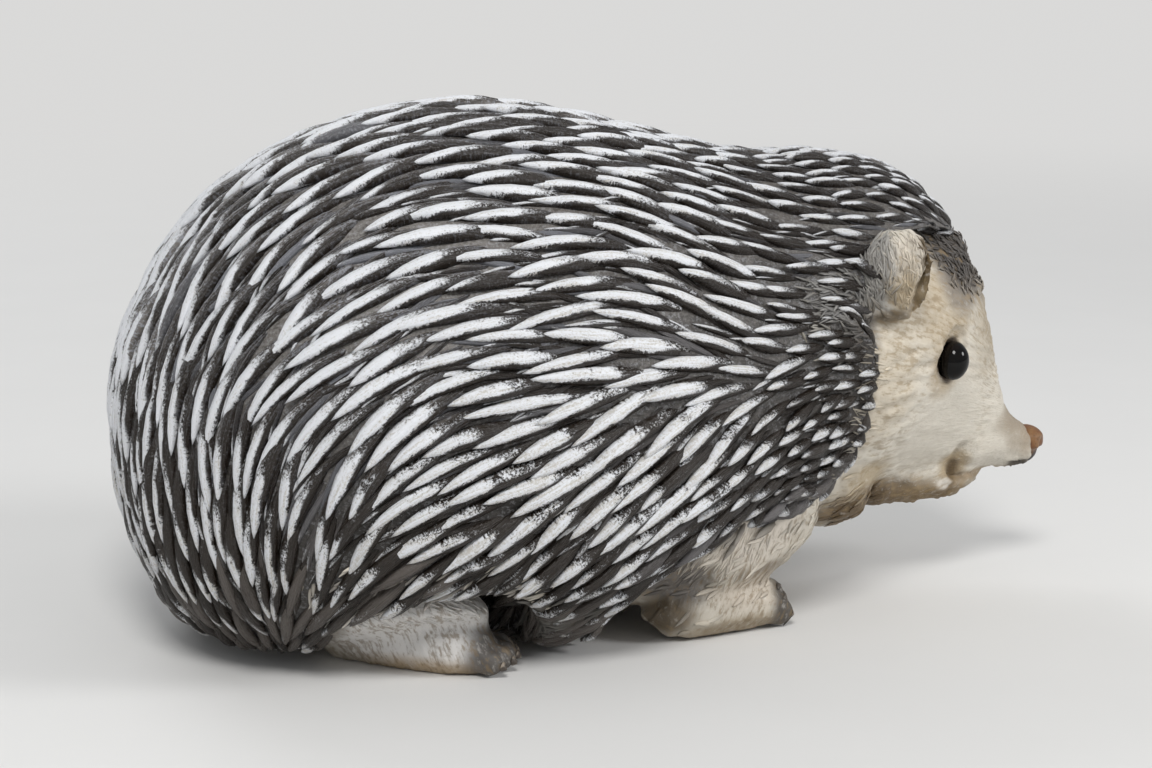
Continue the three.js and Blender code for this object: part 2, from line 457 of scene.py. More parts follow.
@dataclass
class Grain:
    """Smooth random values from 0 to 1 through space, from a table of random numbers."""

    seed: int
    length: int = 65536
    strides: tuple[int, int, int] = (73856093, 19349663, 83492791)
    table: Array = field(init=False)

    def __post_init__(self) -> None:
        """Draws the table."""
        self.table = np.random.default_rng(self.seed).random(self.length)

    def at(self, points: Array, size: float) -> Array:
        """Returns the value at each point, for lumps of a size.

        Args:
            points: Places, in any unit.
            size: The size of a lump, in the same unit.

        Returns:
            The values.
        """
        scaled = points / size
        cell = np.floor(scaled).astype(np.int64)
        share = scaled - cell
        share = share * share * (3 - 2 * share)
        total = np.zeros(len(points))
        for corner in product((0, 1), repeat=3):
            x, y, z = ((cell + corner) * self.strides).T
            key = (x ^ y ^ z) & (self.length - 1)
            total += self.table[key] * np.prod(np.where(corner, share, 1 - share), axis=1)
        return total


@dataclass(frozen=True)
class Chart:
    """A table of values over the body's length and height, read smoothly between its entries."""

    lengthwise: tuple[float, ...]
    heights: tuple[float, ...]
    rows: tuple[tuple[float, ...], ...]

    def at(self, points: Array) -> Array:
        """Reads the table.

        Args:
            points: Places in metres.

        Returns:
            The value at each.
        """
        column = np.interp(points[:, 0] / MM, self.lengthwise, range(len(self.lengthwise)))
        level = np.interp(points[:, 2] / MM, self.heights, range(len(self.heights)))
        table = np.array(self.rows)
        i = np.minimum(column.astype(int), len(self.lengthwise) - 2)
        j = np.minimum(level.astype(int), len(self.heights) - 2)
        a, b = column - i, level - j
        low = table[i, j] * (1 - b) + table[i, j + 1] * b
        high = table[i + 1, j] * (1 - b) + table[i + 1, j + 1] * b
        return low * (1 - a) + high * a


SLIVER = 1e-24


@dataclass
class Ground:
    """A surface that coat is planted on."""

    piece: Piece
    points: Array = field(init=False)
    normals: Array = field(init=False)
    corners: Array = field(init=False)
    tree: BVHTree = field(init=False)

    def __post_init__(self) -> None:
        """Reads the mesh."""
        self.corners = corners_of(self.piece)
        self.points = points_of(self.piece)
        self.normals = normals_of(self.piece)
        self.tree = BVHTree.FromPolygons(self.points.tolist(), self.corners.tolist())

    def areas(self) -> Array:
        """Returns the area of each triangle, in square metres."""
        a, b, c = (self.points[self.corners[:, i]] for i in range(3))
        return np.linalg.norm(np.cross(b - a, c - a), axis=1) / 2

    def scatter(self, count: int, weights: Array, draw: np.random.Generator) -> Array:
        """Draws random places on the surface.

        Args:
            count: How many places.
            weights: How densely they lie at each of the mesh's points.
            draw: The source of chance.

        Returns:
            The places.
        """
        a, b, c = (self.points[self.corners[:, i]] for i in range(3))
        shares = self.areas() * weights[self.corners].mean(1)
        chosen = draw.choice(len(shares), count, p=shares / shares.sum())
        u, v = draw.random(count), draw.random(count)
        flip = u + v > 1
        u, v = np.where(flip, 1 - u, u)[:, None], np.where(flip, 1 - v, v)[:, None]
        return a[chosen] * (1 - u - v) + b[chosen] * u + c[chosen] * v

    def value(self, places: Array, values: Array) -> Array:
        """Returns what values of the mesh's points come to at the nearest places on it."""
        found = [self.tree.find_nearest(place)[2] for place in places.tolist()]
        return values[self.corners[np.array(found)]].mean(1)

    def cling(self, places: Array) -> tuple[Array, Array]:
        """Draws places onto the surface.

        Args:
            places: Places near it.

        Returns:
            The nearest places on the surface, and its smooth normals there.
        """
        found = [self.tree.find_nearest(place) for place in places.tolist()]
        hits = np.array([f[0] for f in found])
        corners = self.corners[np.array([f[2] for f in found])]
        a, b, c = (self.points[corners[:, i]] for i in range(3))
        u, v, w = b - a, c - a, hits - a
        uu, uv, vv = (u * u).sum(1), (u * v).sum(1), (v * v).sum(1)
        wu, wv = (w * u).sum(1), (w * v).sum(1)
        scale = np.maximum(uu * vv - uv * uv, SLIVER)
        s = np.clip((vv * wu - uv * wv) / scale, 0, 1)[:, None]
        t = np.clip((uu * wv - uv * wu) / scale, 0, 1)[:, None]
        normals = self.normals[corners[:, 0]] * (1 - s - t)
        normals += self.normals[corners[:, 1]] * s + self.normals[corners[:, 2]] * t
        return hits, unit(normals)


# ---------------- paint plan


@dataclass(frozen=True)
class ColourPatch:
    """A soft patch of colour on both sides of the casting: its middle and reach in millimetres."""

    middle: Point
    reach: Point
    colour: Colour
    strength: float = 1.0

    def share(self, points: Array) -> Array:
        """Returns how much of the patch's colour lies at each point."""
        away = np.linalg.norm((folded(points) - self.middle) / self.reach, axis=1)
        return self.strength * ramp(-away, -1.25, -0.6)


CREAM = (0.63, 0.585, 0.505)
# Each row is a patch's middle, reach, colour and strength. Most are the paint's own colours; where
# marked, a patch is painted shade.
PATCH_TABLE = (
    # The underside, darker: partly painted shade under the body.
    ((-20, 0, 4), (95, 40, 22), (0.2, 0.165, 0.12), 0.9),
    ((8, 30, 20), (40, 30, 16), (0.4, 0.36, 0.3), 0.7),
    ((80, 28, 76), (12, 14, 13), (0.46, 0.385, 0.28), 0.9),
    ((95, 0, 68), (12, 22, 16), (0.37, 0.31, 0.225), 0.85),
    ((62, 40, 62), (12, 12, 26), (0.54, 0.475, 0.375), 0.8),
    ((91, 0, 90), (17, 35, 16), (0.115, 0.1, 0.09)),
    ((86, 22, 82), (9, 9, 9), (0.2, 0.175, 0.15), 0.75),
    ((88.5, 17, 88), (10, 11, 10), (0.07, 0.062, 0.057)),
    ((50, 42, 88), (13, 12, 16), (0.38, 0.37, 0.355)),
    ((57, 43, 85), (5.0, 7, 13), (0.36, 0.345, 0.32), 0.85),
    ((66, 44.5, 92.5), (6.6, 7, 8), (0.5, 0.45, 0.38), 0.95),
    ((63.8, 44.5, 84.5), (3.6, 7, 8), (0.5, 0.44, 0.355), 0.95),
    ((70, 41, 80), (4.5, 7, 6), (0.33, 0.24, 0.13), 0.85),
    ((75, 36, 88), (6, 6, 10), (0.36, 0.27, 0.155), 0.85),
    ((69, 42, 91), (2.5, 3.4, 8), (0.085, 0.055, 0.022)),
    ((68, 42, 83.5), (2.0, 3, 4.5), (0.13, 0.09, 0.04), 0.9),
    ((63, 45, 83), (5.5, 6, 4.5), (0.4, 0.32, 0.21), 0.75),
    # Painted shadow in the groove under the ear's lower end.
    ((61, 42, 77), (8, 6, 2.6), (0.12, 0.088, 0.05), 0.9),
    ((54, 40, 73), (6, 8, 5), (0.15, 0.135, 0.125), 0.85),
    ((110, 0, 42.5), (10, 8, 4.8), (0.29, 0.235, 0.175), 0.85),
    ((114.5, 0, 37), (3.4, 8, 7), (0.42, 0.31, 0.21), 0.7),
    ((114, 0, 29), (4.5, 6, 2.4), (0.04, 0.03, 0.02), 0.95),
    # The mouth's corner: ochre, with painted shadow darkest in its recess.
    ((92.5, 11, 31), (5, 6, 5.5), (0.33, 0.235, 0.115), 0.75),
    ((92.3, 11, 30.6), (2.4, 5, 3.4), (0.1, 0.062, 0.026), 0.95),
    ((62, 22, 30), (11, 10, 10), (0.36, 0.28, 0.17), 0.8),
    ((112, 5, 38.5), (6, 6, 6), (0.36, 0.3, 0.23), 0.75),
    ((106, 5, 42), (7, 6, 4.5), (0.34, 0.28, 0.21), 0.8),
    ((102, 5, 28), (13, 5, 1.5), (0.27, 0.19, 0.105), 0.75),
    # The throat and the underside of the jaw: brown fur, darkened with painted shade.
    ((74, 0, 23.5), (34, 24, 7.4), (0.17, 0.115, 0.054)),
    ((60, 10, 26), (20, 24, 6), (0.11, 0.072, 0.034)),
    ((89.3, 11, 27.2), (2.4, 4, 1.7), (0.66, 0.62, 0.56), 0.8),
    ((80.5, 27, 61.5), (8, 8, 8), (0.36, 0.28, 0.18), 0.7),
    ((28, 44, 27), (16, 12, 10), (0.68, 0.62, 0.54), 0.9),
    ((31, 38, 15.5), (9, 8, 3), (0.16, 0.125, 0.09), 0.7),
    ((27, 35, 11), (13, 10, 5), (0.5, 0.44, 0.365), 0.9),
    # Under the fore paw and at its toes the colour darkens: ochre-brown, partly painted shadow
    # beneath the paw.
    ((24, 35, 2), (18, 12, 4), (0.26, 0.2, 0.125), 0.8),
    ((38.5, 30, 5), (6.5, 14, 9), (0.07, 0.06, 0.05)),
    ((7, 42, 16), (10, 10, 7), (0.12, 0.108, 0.098), 0.95),
    ((4, 40, 7), (8, 8, 5), (0.1, 0.072, 0.04), 0.9),
    ((-58, 44, 10), (28, 18, 14), (0.66, 0.645, 0.63), 0.95),
    ((-56, 46, -1), (28, 18, 5.5), (0.36, 0.26, 0.15), 0.9),
    ((-39, 50, 5), (9.5, 14, 8), (0.07, 0.062, 0.056), 0.97),
    ((-80, 44, 9), (7, 10, 9), (0.14, 0.115, 0.085), 0.8),
    ((-60, 60, 25), (34, 12, 7), (0.2, 0.185, 0.17), 0.85),
)
FUR_PATCHES = tuple(ColourPatch(*row) for row in PATCH_TABLE)


def fur_colours(points: Array) -> Array:
    """Mixes the colour of the fur, some patches of it painted shade.

    Args:
        points: Places on the skin.

    Returns:
        The colour at each.
    """
    colours = np.tile(CREAM, (len(points), 1))
    for colour_patch in FUR_PATCHES:
        share = colour_patch.share(points)[:, None]
        colours = colours * (1 - share) + np.array(colour_patch.colour) * share
    return colours


# Where the hair is carved shallower.
SMOOTH_HAIR = (
    ColourPatch((84, 20, 46), (17, 16, 19), CREAM),
    ColourPatch((103, 0, 40), (16, 16, 14), CREAM),
)
# Where the legs and feet are.
LIMBS = (
    ColourPatch((26, 34, 12), (24, 20, 15), CREAM),
    ColourPatch((28, 42, 26), (18, 14, 12), CREAM),
    ColourPatch((-60, 44, 10), (38, 24, 18), CREAM),
)


def limbs(points: Array) -> Array:
    """Returns how much each point belongs to the legs and feet."""
    return np.max([colour_patch.share(points) for colour_patch in LIMBS], axis=0)


FORE_LEAN, HIND_LEAN = math.radians(-24), math.radians(22)


def combing(points: Array) -> Array:
    """Turns places so that the last axis runs along the hair of the legs.

    Args:
        points: Places on the skin.

    Returns:
        The places, turned so that the hair runs down and back on the fore legs, and down and
        forwards on the hind ones.
    """
    x, y, z = points.T
    lean = np.where(x > 0, FORE_LEAN, HIND_LEAN)
    across = x * np.cos(lean) + z * np.sin(lean)
    return np.column_stack([across, y, z * np.cos(lean) - x * np.sin(lean)])


def hairiness(points: Array) -> Array:
    """Returns how deeply the hair is carved, and so how much wash it holds, at each point."""
    smooth = np.max([colour_patch.share(points) for colour_patch in SMOOTH_HAIR], axis=0)
    return 1 - smooth


# How much dark wash lies over the quills, from 0 to 1.
UMBER_WASH = Chart(
    (-118, -90, -60, -30, 0, 30, 60, 90),
    (5, 30, 60, 90, 120),
    (
        (1.0, 0.9, 0.65, 0.35, 0.25), (1.0, 0.95, 0.6, 0.2, 0.2), (1.0, 1.0, 0.6, 0.2, 0.2),
        (1.0, 0.95, 0.7, 0.5, 0.3), (1.0, 0.75, 0.75, 0.65, 0.4), (0.9, 0.7, 0.8, 0.65, 0.45),
        (0.8, 0.8, 0.9, 0.6, 0.45), (0.7, 0.7, 0.7, 0.5, 0.45),
    ),
)


# ---------------- finishes


@dataclass(frozen=True)
class QuillFinish:
    """Dark umber quills, dry-brushed white along their crests, under a satin sealer. The white
    leans to each quill's upper side and its lower side is darker, partly painted light and painted
    shade.

    On a quill's own map, across runs from 0 at its upper edge to 1 at its lower one, and along from
    0 at its root to 1 at its tip.
    """

    white: Colour = (0.775, 0.79, 0.825)
    dull_white: Colour = (0.52, 0.49, 0.44)
    grey: Colour = (0.15, 0.136, 0.125)
    umber: Colour = (0.017, 0.0118, 0.008)
    # The haze is pale dust, and in part a painted sheen on the dark sealer.
    haze: Colour = (0.36, 0.375, 0.42)
    tan: Colour = (0.17, 0.135, 0.1)
    ragged_grain: Point = (5, 20, 1)
    speckle_grain: Point = (11, 52, 1)
    hair_grain: Point = (9, 3.5, 1)
    chance_shift: float = 61
    crest: float = 0.4
    white_starts: float = 0.76
    white_ends: float = 0.53
    shade_starts: float = 0.7
    relief_depth: float = 0.00045

    def material(self) -> Paint:
        """Builds the material, which reads each quill's own map and numbers.

        Returns:
            The material.
        """
        graph = Graph("quill_paint")
        across, along = graph.uv("Blade")
        chance = graph.attribute("chance")
        wash = graph.attribute("wash")
        paint = graph.attribute("paint")
        aside = 1 - graph.attribute("facing")
        blade = graph.vector(across, along, chance * self.chance_shift)
        ragged = graph.noise(graph.stretched(blade, self.ragged_grain), 1.0, 4, 0.7) - 0.5
        speckle = graph.noise(graph.stretched(blade, self.speckle_grain), 1.0, 3, 0.75) - 0.5
        hair = graph.noise(graph.stretched(blade, self.hair_grain), 1.0, 3, 0.65)
        blot = graph.noise(graph.place(), 120, 1, 0.5) - 0.5

        # The white starts some way along the quill, nearest the root on its crest.
        middle = across - self.crest
        start = along + ragged * (0.25 + wash * 0.3) + speckle * (0.35 + wash * 0.75)
        start = start + paint * 0.5 - middle * middle * 1.2 - self.white_starts - blot * wash
        # It lies between an upper and a lower edge, which rub unevenly.
        edge = across + ragged * 0.14 + speckle * 0.12 - aside * 0.14 - 0.03
        reach = paint * 0.24 + along * 0.16 + aside * 0.17 + self.white_ends
        reach = reach - wash * 0.24 - blot * wash * 0.6
        lower = (across + ragged * 0.28 + speckle * 0.5 - reach).step(0.05, -0.05)
        brushed = start.step(-0.08, 0.1) * edge.step(0.0, 0.05) * lower

        # Under it is umber, greyer on the hair lines, and darkest at the root and on the lower
        # side, where the wash and a painted shade under the quill's overhang both darken it.
        root = (along + ragged * 0.3).step(0.5, 0.1)
        shade = across + ragged * 0.5 + wash * 1.2 - aside * 0.1 - self.shade_starts
        shade = shade.step(-0.05, 0.3)
        dark = graph.mix(hair.step(0.6, 0.38) * 0.75, self.grey, self.umber)
        dark = graph.mix(shade, dark, self.umber)
        dark = graph.mix(root * 0.35, dark, self.umber)
        # Dust is left on the high grain, and all over the short quills between. The pale speckle on
        # the dark is partly a painted sheen of the sealer, and it thins in the painted shade of the
        # lower side.
        dusted = (speckle + hair * 0.5 + root * 0.06 - wash * 0.05).step(0.25, 0.38)
        dusted = dusted * (0.7 - wash * 0.2 - shade * 0.45)
        dusted = dusted + paint.step(0.05, -0.25) * (0.6 - wash * 0.2)
        dust_and_sheen = graph.mix(wash.step(0.5, 0.9) * 0.8, self.haze, self.tan)
        dark = graph.mix(dusted, dark, dust_and_sheen)

        worn = (hair + speckle - wash * 0.3).step(0.4, 0.05)
        cream = graph.mix(worn * 0.85, self.white, self.dull_white)
        cover = brushed * (0.45 + speckle.step(-0.26, -0.12) * 0.55)
        height = hair + speckle * 0.7 + brushed * 0.25 + ragged * 0.5
        return graph.finish(
            {
                "Base Color": graph.mix(cover, dark, cream),
                "Roughness": 0.18 + brushed * 0.36 + hair * 0.2,
                "Normal": graph.bump(height, self.relief_depth, 0.9),
                "Specular IOR Level": 0.42,
            }
        )


@dataclass(frozen=True)
class SkinFinish:
    """Cream paint with an ochre wash in the carved hair, and streaked umber between the quills."""

    grey: Colour = (0.17, 0.157, 0.145)
    umber: Colour = (0.018, 0.014, 0.011)
    haze: Colour = (0.34, 0.34, 0.35)
    ochre: Colour = (0.27, 0.19, 0.095)
    earth: Colour = (0.12, 0.085, 0.05)
    chalk: Colour = (0.72, 0.69, 0.64)
    strands_round: float = 62.0
    strands_along: float = 330
    leg_grain: Point = (1050, 800, 230)
    streak_grain: Point = (330, 900, 900)
    relief_depth: float = 0.0005

    def strands(self, graph: Graph, place: Signal) -> Signal:
        """Makes hair-fine noise whose strands run back from the nose.

        Args:
            graph: The material's graph.
            place: The place on the skin.

        Returns:
            The noise.
        """
        offset = graph.maths("SUBTRACT", {0: place, 1: NOSE_TIP})
        way = graph.maths("NORMALIZE", {0: offset})
        wide = graph.maths("SCALE", {0: way, "Scale": self.strands_round})
        far = graph.maths("LENGTH", {0: offset}, "Value")
        both = graph.maths("ADD", {0: wide, 1: graph.vector(far * self.strands_along, 0.0, 0.0)})
        return graph.noise(both, 1.0, 4, 0.62)

    def fur(self, graph: Graph, strands: Signal, curls: Signal, blotch: Signal) -> Signal:
        """Returns the colour of the carved hair.

        Args:
            graph: The material's graph.
            strands: The grain of the hair.
            curls: The finer grain across it.
            blotch: Broad unevenness.

        Returns:
            The paint plan's colour, with wash in the grooves and chalk on the ridges.
        """
        paint = graph.attribute("paint_plan", "Color")
        hairy = graph.attribute("hairy")
        limb = graph.attribute("limb")
        groove = (strands * 0.7 + curls * 0.3 + (blotch - 0.5) * 0.35).step(0.52, 0.38)
        wash = graph.mix(limb * 0.55, self.ochre, self.earth)
        wash = graph.mix(0.62 + limb * 0.1, paint, wash)
        fur = graph.mix(groove * (0.12 + hairy * 0.75), paint, wash)
        ridge = (strands + curls).step(1.06, 1.3)
        return graph.mix(ridge * 0.55, fur, graph.mix(0.45, paint, self.chalk))

    def between(self, graph: Graph, streak: Signal, blotch: Signal) -> Signal:
        """Mixes the colour of the ground between the quills.

        Args:
            graph: The material's graph.
            streak: Its coarse streaks.
            blotch: Broad unevenness.

        Returns:
            The colour.
        """
        wash = graph.attribute("wash")
        specks = graph.noise(graph.place(), 1300, 3, 0.8)
        deep = (streak * 1.3 + wash * 0.75 + (blotch - 0.5) * 0.5).step(0.8, 1.35)
        ground = graph.mix(deep, self.grey, self.umber)
        ground = graph.mix((specks + streak).step(0.96, 0.84) * 0.6, ground, self.umber)
        dusted = (specks + streak).step(1.02, 1.18) * (0.7 - wash * 0.35)
        return graph.mix(dusted, ground, self.haze)

    def material(self) -> Paint:
        """Builds the material, which reads the paint plan stored on the skin.

        Returns:
            The material.
        """
        graph = Graph("casting_paint")
        place = graph.place()
        quilled = graph.attribute("quilled")
        limb = graph.attribute("limb")
        strands = self.strands(graph, place)
        lay = graph.stretched(graph.attribute("lay", "Vector"), self.leg_grain)
        strands = strands + (graph.noise(lay, 1.0, 3, 0.6) - strands) * limb
        curls = graph.noise(place, 620, 4, 0.65)
        blotch = graph.noise(place, 130, 3, 0.6)
        streak = graph.noise(graph.stretched(place, self.streak_grain), 1.0, 4, 0.75)
        fur = self.fur(graph, strands, curls, blotch)
        ground = self.between(graph, streak, blotch)
        height = strands * 0.8 + curls * 0.35 + quilled * streak
        return graph.finish(
            {
                "Base Color": graph.mix(quilled.step(0.35, 0.6), fur, ground),
                "Roughness": 0.6 - quilled * 0.26 + (blotch - 0.5) * 0.2,
                "Normal": graph.bump(height, self.relief_depth, 0.8),
            }
        )


@dataclass(frozen=True)
class FurFinish:
    """Short cast hair: paler on its ridges, with the wash left at its roots."""

    ochre: Colour = (0.27, 0.19, 0.095)
    chalk: Colour = (0.74, 0.72, 0.68)
    deepened: Colour = (0.35, 0.3, 0.25)
    brightened: Colour = (1.5, 1.48, 1.45)
    strand_grain: Point = (6, 1.5, 1)
    chance_shift: float = 61
    relief_depth: float = 0.0002

    def material(self) -> Paint:
        """Builds the material, which reads each tuft's map and its place in the paint plan.

        Returns:
            The material.
        """
        graph = Graph("fur_paint")
        across, along = graph.uv("Blade")
        chance = graph.attribute("chance")
        paint = graph.attribute("paint_plan", "Color")
        blade = graph.vector(across, along, chance * self.chance_shift)
        strand = graph.noise(graph.stretched(blade, self.strand_grain), 1.0, 3, 0.65)
        root = (along + (strand - 0.5) * 0.8).step(0.5, 0.05)
        edge = (across * (1 - across) * 4 + (strand - 0.5) * 0.5).step(0.6, 0.15)
        deep = graph.mix(1.0, paint, self.deepened, "MULTIPLY")
        low = graph.mix(0.5, graph.mix(0.6, paint, self.ochre), deep)
        bright = graph.mix(1.0, paint, self.brightened, "MULTIPLY")
        tip = (along * (0.5 + chance * 0.8)).step(0.4, 1.0) * 0.6
        high = graph.mix(tip, paint, graph.mix(0.12, bright, self.chalk))
        return graph.finish(
            {
                "Base Color": graph.mix(root * 0.42 + edge * 0.25, high, low),
                "Roughness": 0.52 + strand * 0.2,
                "Normal": graph.bump(strand, self.relief_depth, 0.7),
            }
        )


@dataclass(frozen=True)
class BeadFinish:
    """A glossy black bead, faintly smeared."""

    black: Colour = (0.003, 0.003, 0.003)
    brown: Colour = (0.012, 0.007, 0.005)
    roughness: float = 0.06

    def material(self) -> Paint:
        """Builds the material.

        Returns:
            The material.
        """
        graph = Graph("bead_glass")
        cloud = graph.noise(graph.place(), 260, 2, 0.5)
        smear = graph.noise(graph.place(), 900, 2, 0.5).step(0.35, 0.9)
        return graph.finish(
            {
                "Base Color": graph.mix(cloud.step(0.4, 0.8) * 0.5, self.black, self.brown),
                "Roughness": smear * 0.06 + self.roughness,
                "Specular IOR Level": 0.2,
            }
        )


@dataclass(frozen=True)
class NoseFinish:
    """Terracotta, turning black towards the bottom, satin. Its heights are in millimetres."""

    terracotta: Colour = (0.16, 0.064, 0.019)
    pale: Colour = (0.22, 0.115, 0.046)
    black: Colour = (0.015, 0.011, 0.008)
    dark_from: float = 33.2
    dark_to: float = 31.0
    relief_depth: float = 0.0002

    def material(self) -> Paint:
        """Builds the material.

        Returns:
            The material.
        """
        graph = Graph("nose_paint")
        place = graph.place()
        height = graph.parts(place)[2]
        pores = graph.noise(place, 1500, 3, 0.6)
        cloud = graph.noise(place, 330, 3, 0.6)
        under = (height * (1 / MM) + (cloud - 0.5) * 5).step(self.dark_from, self.dark_to)
        colour = graph.mix(cloud.step(0.4, 0.7), self.terracotta, self.pale)
        colour = graph.mix(pores.step(0.44, 0.3) * 0.6, colour, self.black)
        return graph.finish(
            {
                "Base Color": graph.mix(under, colour, self.black),
                "Roughness": 0.34 + pores * 0.2,
                "Normal": graph.bump(pores, self.relief_depth, 0.7),
            }
        )


@dataclass(frozen=True)
class ClawFinish:
    """Dark horn, rubbed paler in places."""

    dark: Colour = (0.05, 0.038, 0.03)
    pale: Colour = (0.24, 0.2, 0.155)
    relief_depth: float = 0.00015

    def material(self) -> Paint:
        """Builds the material.

        Returns:
            The material.
        """
        graph = Graph("claw_paint")
        cloud = graph.noise(graph.place(), 700, 3, 0.6)
        return graph.finish(
            {
                "Base Color": graph.mix(cloud.step(0.42, 0.68), self.dark, self.pale),
                "Roughness": 0.35 + cloud * 0.2,
                "Normal": graph.bump(cloud, self.relief_depth, 0.6),
            }
        )


# ---------------- the casting


@dataclass(frozen=True)
class Swelling:
    """A soft rise, or dip, of the skin on both sides: its middle, reach and height in mm."""

    middle: Point
    reach: Point
    height: float

    def lift(self, points: Array) -> Array:
        """Returns how far it moves each point outwards, in millimetres."""
        away = np.linalg.norm((points - self.middle) / self.reach, axis=1)
        return self.height * np.exp(-1.4 * away**2)


@dataclass(frozen=True)
class Crease:
    """A groove, or with a negative depth a ridge, along a line on both sides, in millimetres."""

    line: tuple[Point, ...]
    width: float
    depth: float

    def away(self, points: Array) -> Array:
        """Measures how far points are from the line.

        Args:
            points: Places in millimetres, on the left side.

        Returns:
            The distance of each.
        """
        best = np.full(len(points), np.inf)
        for start, end in zip(self.line, self.line[1:]):
            a, run = np.array(start), np.subtract(end, start)
            share = np.clip(((points - a) @ run) / (run @ run), 0, 1)[:, None]
            best = np.minimum(best, np.linalg.norm(points - a - run * share, axis=1))
        return best

    def lift(self, points: Array) -> Array:
        """Returns how far it moves each point outwards, in millimetres."""
        return -self.depth * np.exp(-((self.away(points) / self.width) ** 2))


CHEEK_RIM = Crease(
    (
        (42, 42, 84), (47.3, 45, 79.5), (51, 44.8, 76.9), (56.3, 43.4, 72.7),
        (55.9, 43.8, 63.8), (54.4, 43.6, 55), (51.1, 41, 41.4), (44, 38, 33),
    ),
    1.5,
    -1.5,
)
FOLDS = (
    Crease(
        (
            (116, 3.5, 29.6), (110.3, 4.6, 29.2), (103, 6.2, 28.4), (97, 8.2, 28.8),
            (92.5, 9.8, 30.2),
        ),
        0.9,
        1.2,
    ),
    Crease(((95.5, 9.5, 28), (92.2, 10.6, 30), (92.2, 12.2, 33.5), (93.5, 13.4, 36.5)), 1.4, 2.6),
    Crease(((71, 37.5, 86), (74, 34, 81), (77.5, 29.8, 77.5)), 1.5, 0.9),
    Crease(((70.5, 40, 96.5), (69.6, 43.2, 90), (67.6, 43.4, 85.5), (66.6, 41, 80)), 1.15, 2.4),
    Crease(((66.8, 41.5, 97), (66.0, 44.6, 90), (64.4, 44.2, 85), (63.4, 43, 80.5)), 1.2, -0.9),
    Crease(((58, 41, 77.6), (63, 41.6, 77), (68, 40, 77.6)), 1.0, 1.0),
    Crease(((54, 24, 29), (66, 14, 29.3), (78, 11.4, 27.6)), 1.6, 0.8),
    CHEEK_RIM,
)
# Each row is a swelling's middle, reach and height.
SWELLING_TABLE = (
    ((86, 23, 72.5), (6, 6, 3.5), 0.7),
    ((74, 29, 44), (12, 9, 10), 0.6),
    ((101, 9, 35), (9, 6, 4.5), 0.9),
    ((103, 0, 23.5), (7, 10, 4), -1.6),
    ((60, 14, 25), (18, 14, 8), 4.2),
    ((69.5, 44, 80.5), (4.2, 5, 6.5), -3.0),
    ((95, 13.9, 79), (3.2, 3.5, 3.2), 1.4),
    ((91, 9, 89), (4.5, 5, 3.5), 1.3),
    ((63, 44, 88), (3, 4, 6.5), -0.9),
    ((7.7, 41, 14), (6, 5, 4), 0.6),
    ((78, 0, 112), (24, 34, 17), 2.0),
    ((84, 0, 104), (8, 26, 8), 0.6),
    ((92, 0, 93), (8, 24, 8), 2.6),
    ((36, 27, 10), (7, 9, 4), 1.3),
    ((40, 27, 7), (4, 9, 3.5), 0.9),
    ((43.5, 30, 1.2), (4.5, 12, 3.6), -1.7),
    ((72, 42, 96), (4, 5, 4.5), 2.0),
    ((55, 43, 95), (5, 6, 4), 1.6),
    ((57, 44, 80.5), (5.5, 6, 6), -3.0),
    ((98, 10, 33), (4, 5, 4), 0.7),
    ((70, 13, 27), (5, 7, 6), 1.3),
)
SWELLINGS = tuple(Swelling(*row) for row in SWELLING_TABLE)


@dataclass(frozen=True)
class Socket:
    """Where an eye sits and which way it looks, on the left side, in millimetres."""

    middle: Point = (83.5, 27.0, 63.2)
    radii: Point = (3.9, 5.0, 3.9)
    outlook: Point = (0.5, 0.86, 0.03)
    lean: float = 7.0
    aperture: float = -1.2

    def axes(self) -> tuple[Array, Array, Array]:
        """Finds the eye's axes. Its top leans to the nose.

        Returns:
            The ways across, up and out of the eye.
        """
        out = unit(np.array(self.outlook))
        level = unit(np.cross((0, 0, 1), out))
        up = np.cross(out, level)
        c, s = math.cos(math.radians(self.lean)), math.sin(math.radians(self.lean))
        return c * level + s * up, c * up - s * level, out


EYE = Socket()
LID_LINE = (0.05, 0.03, 0.018)


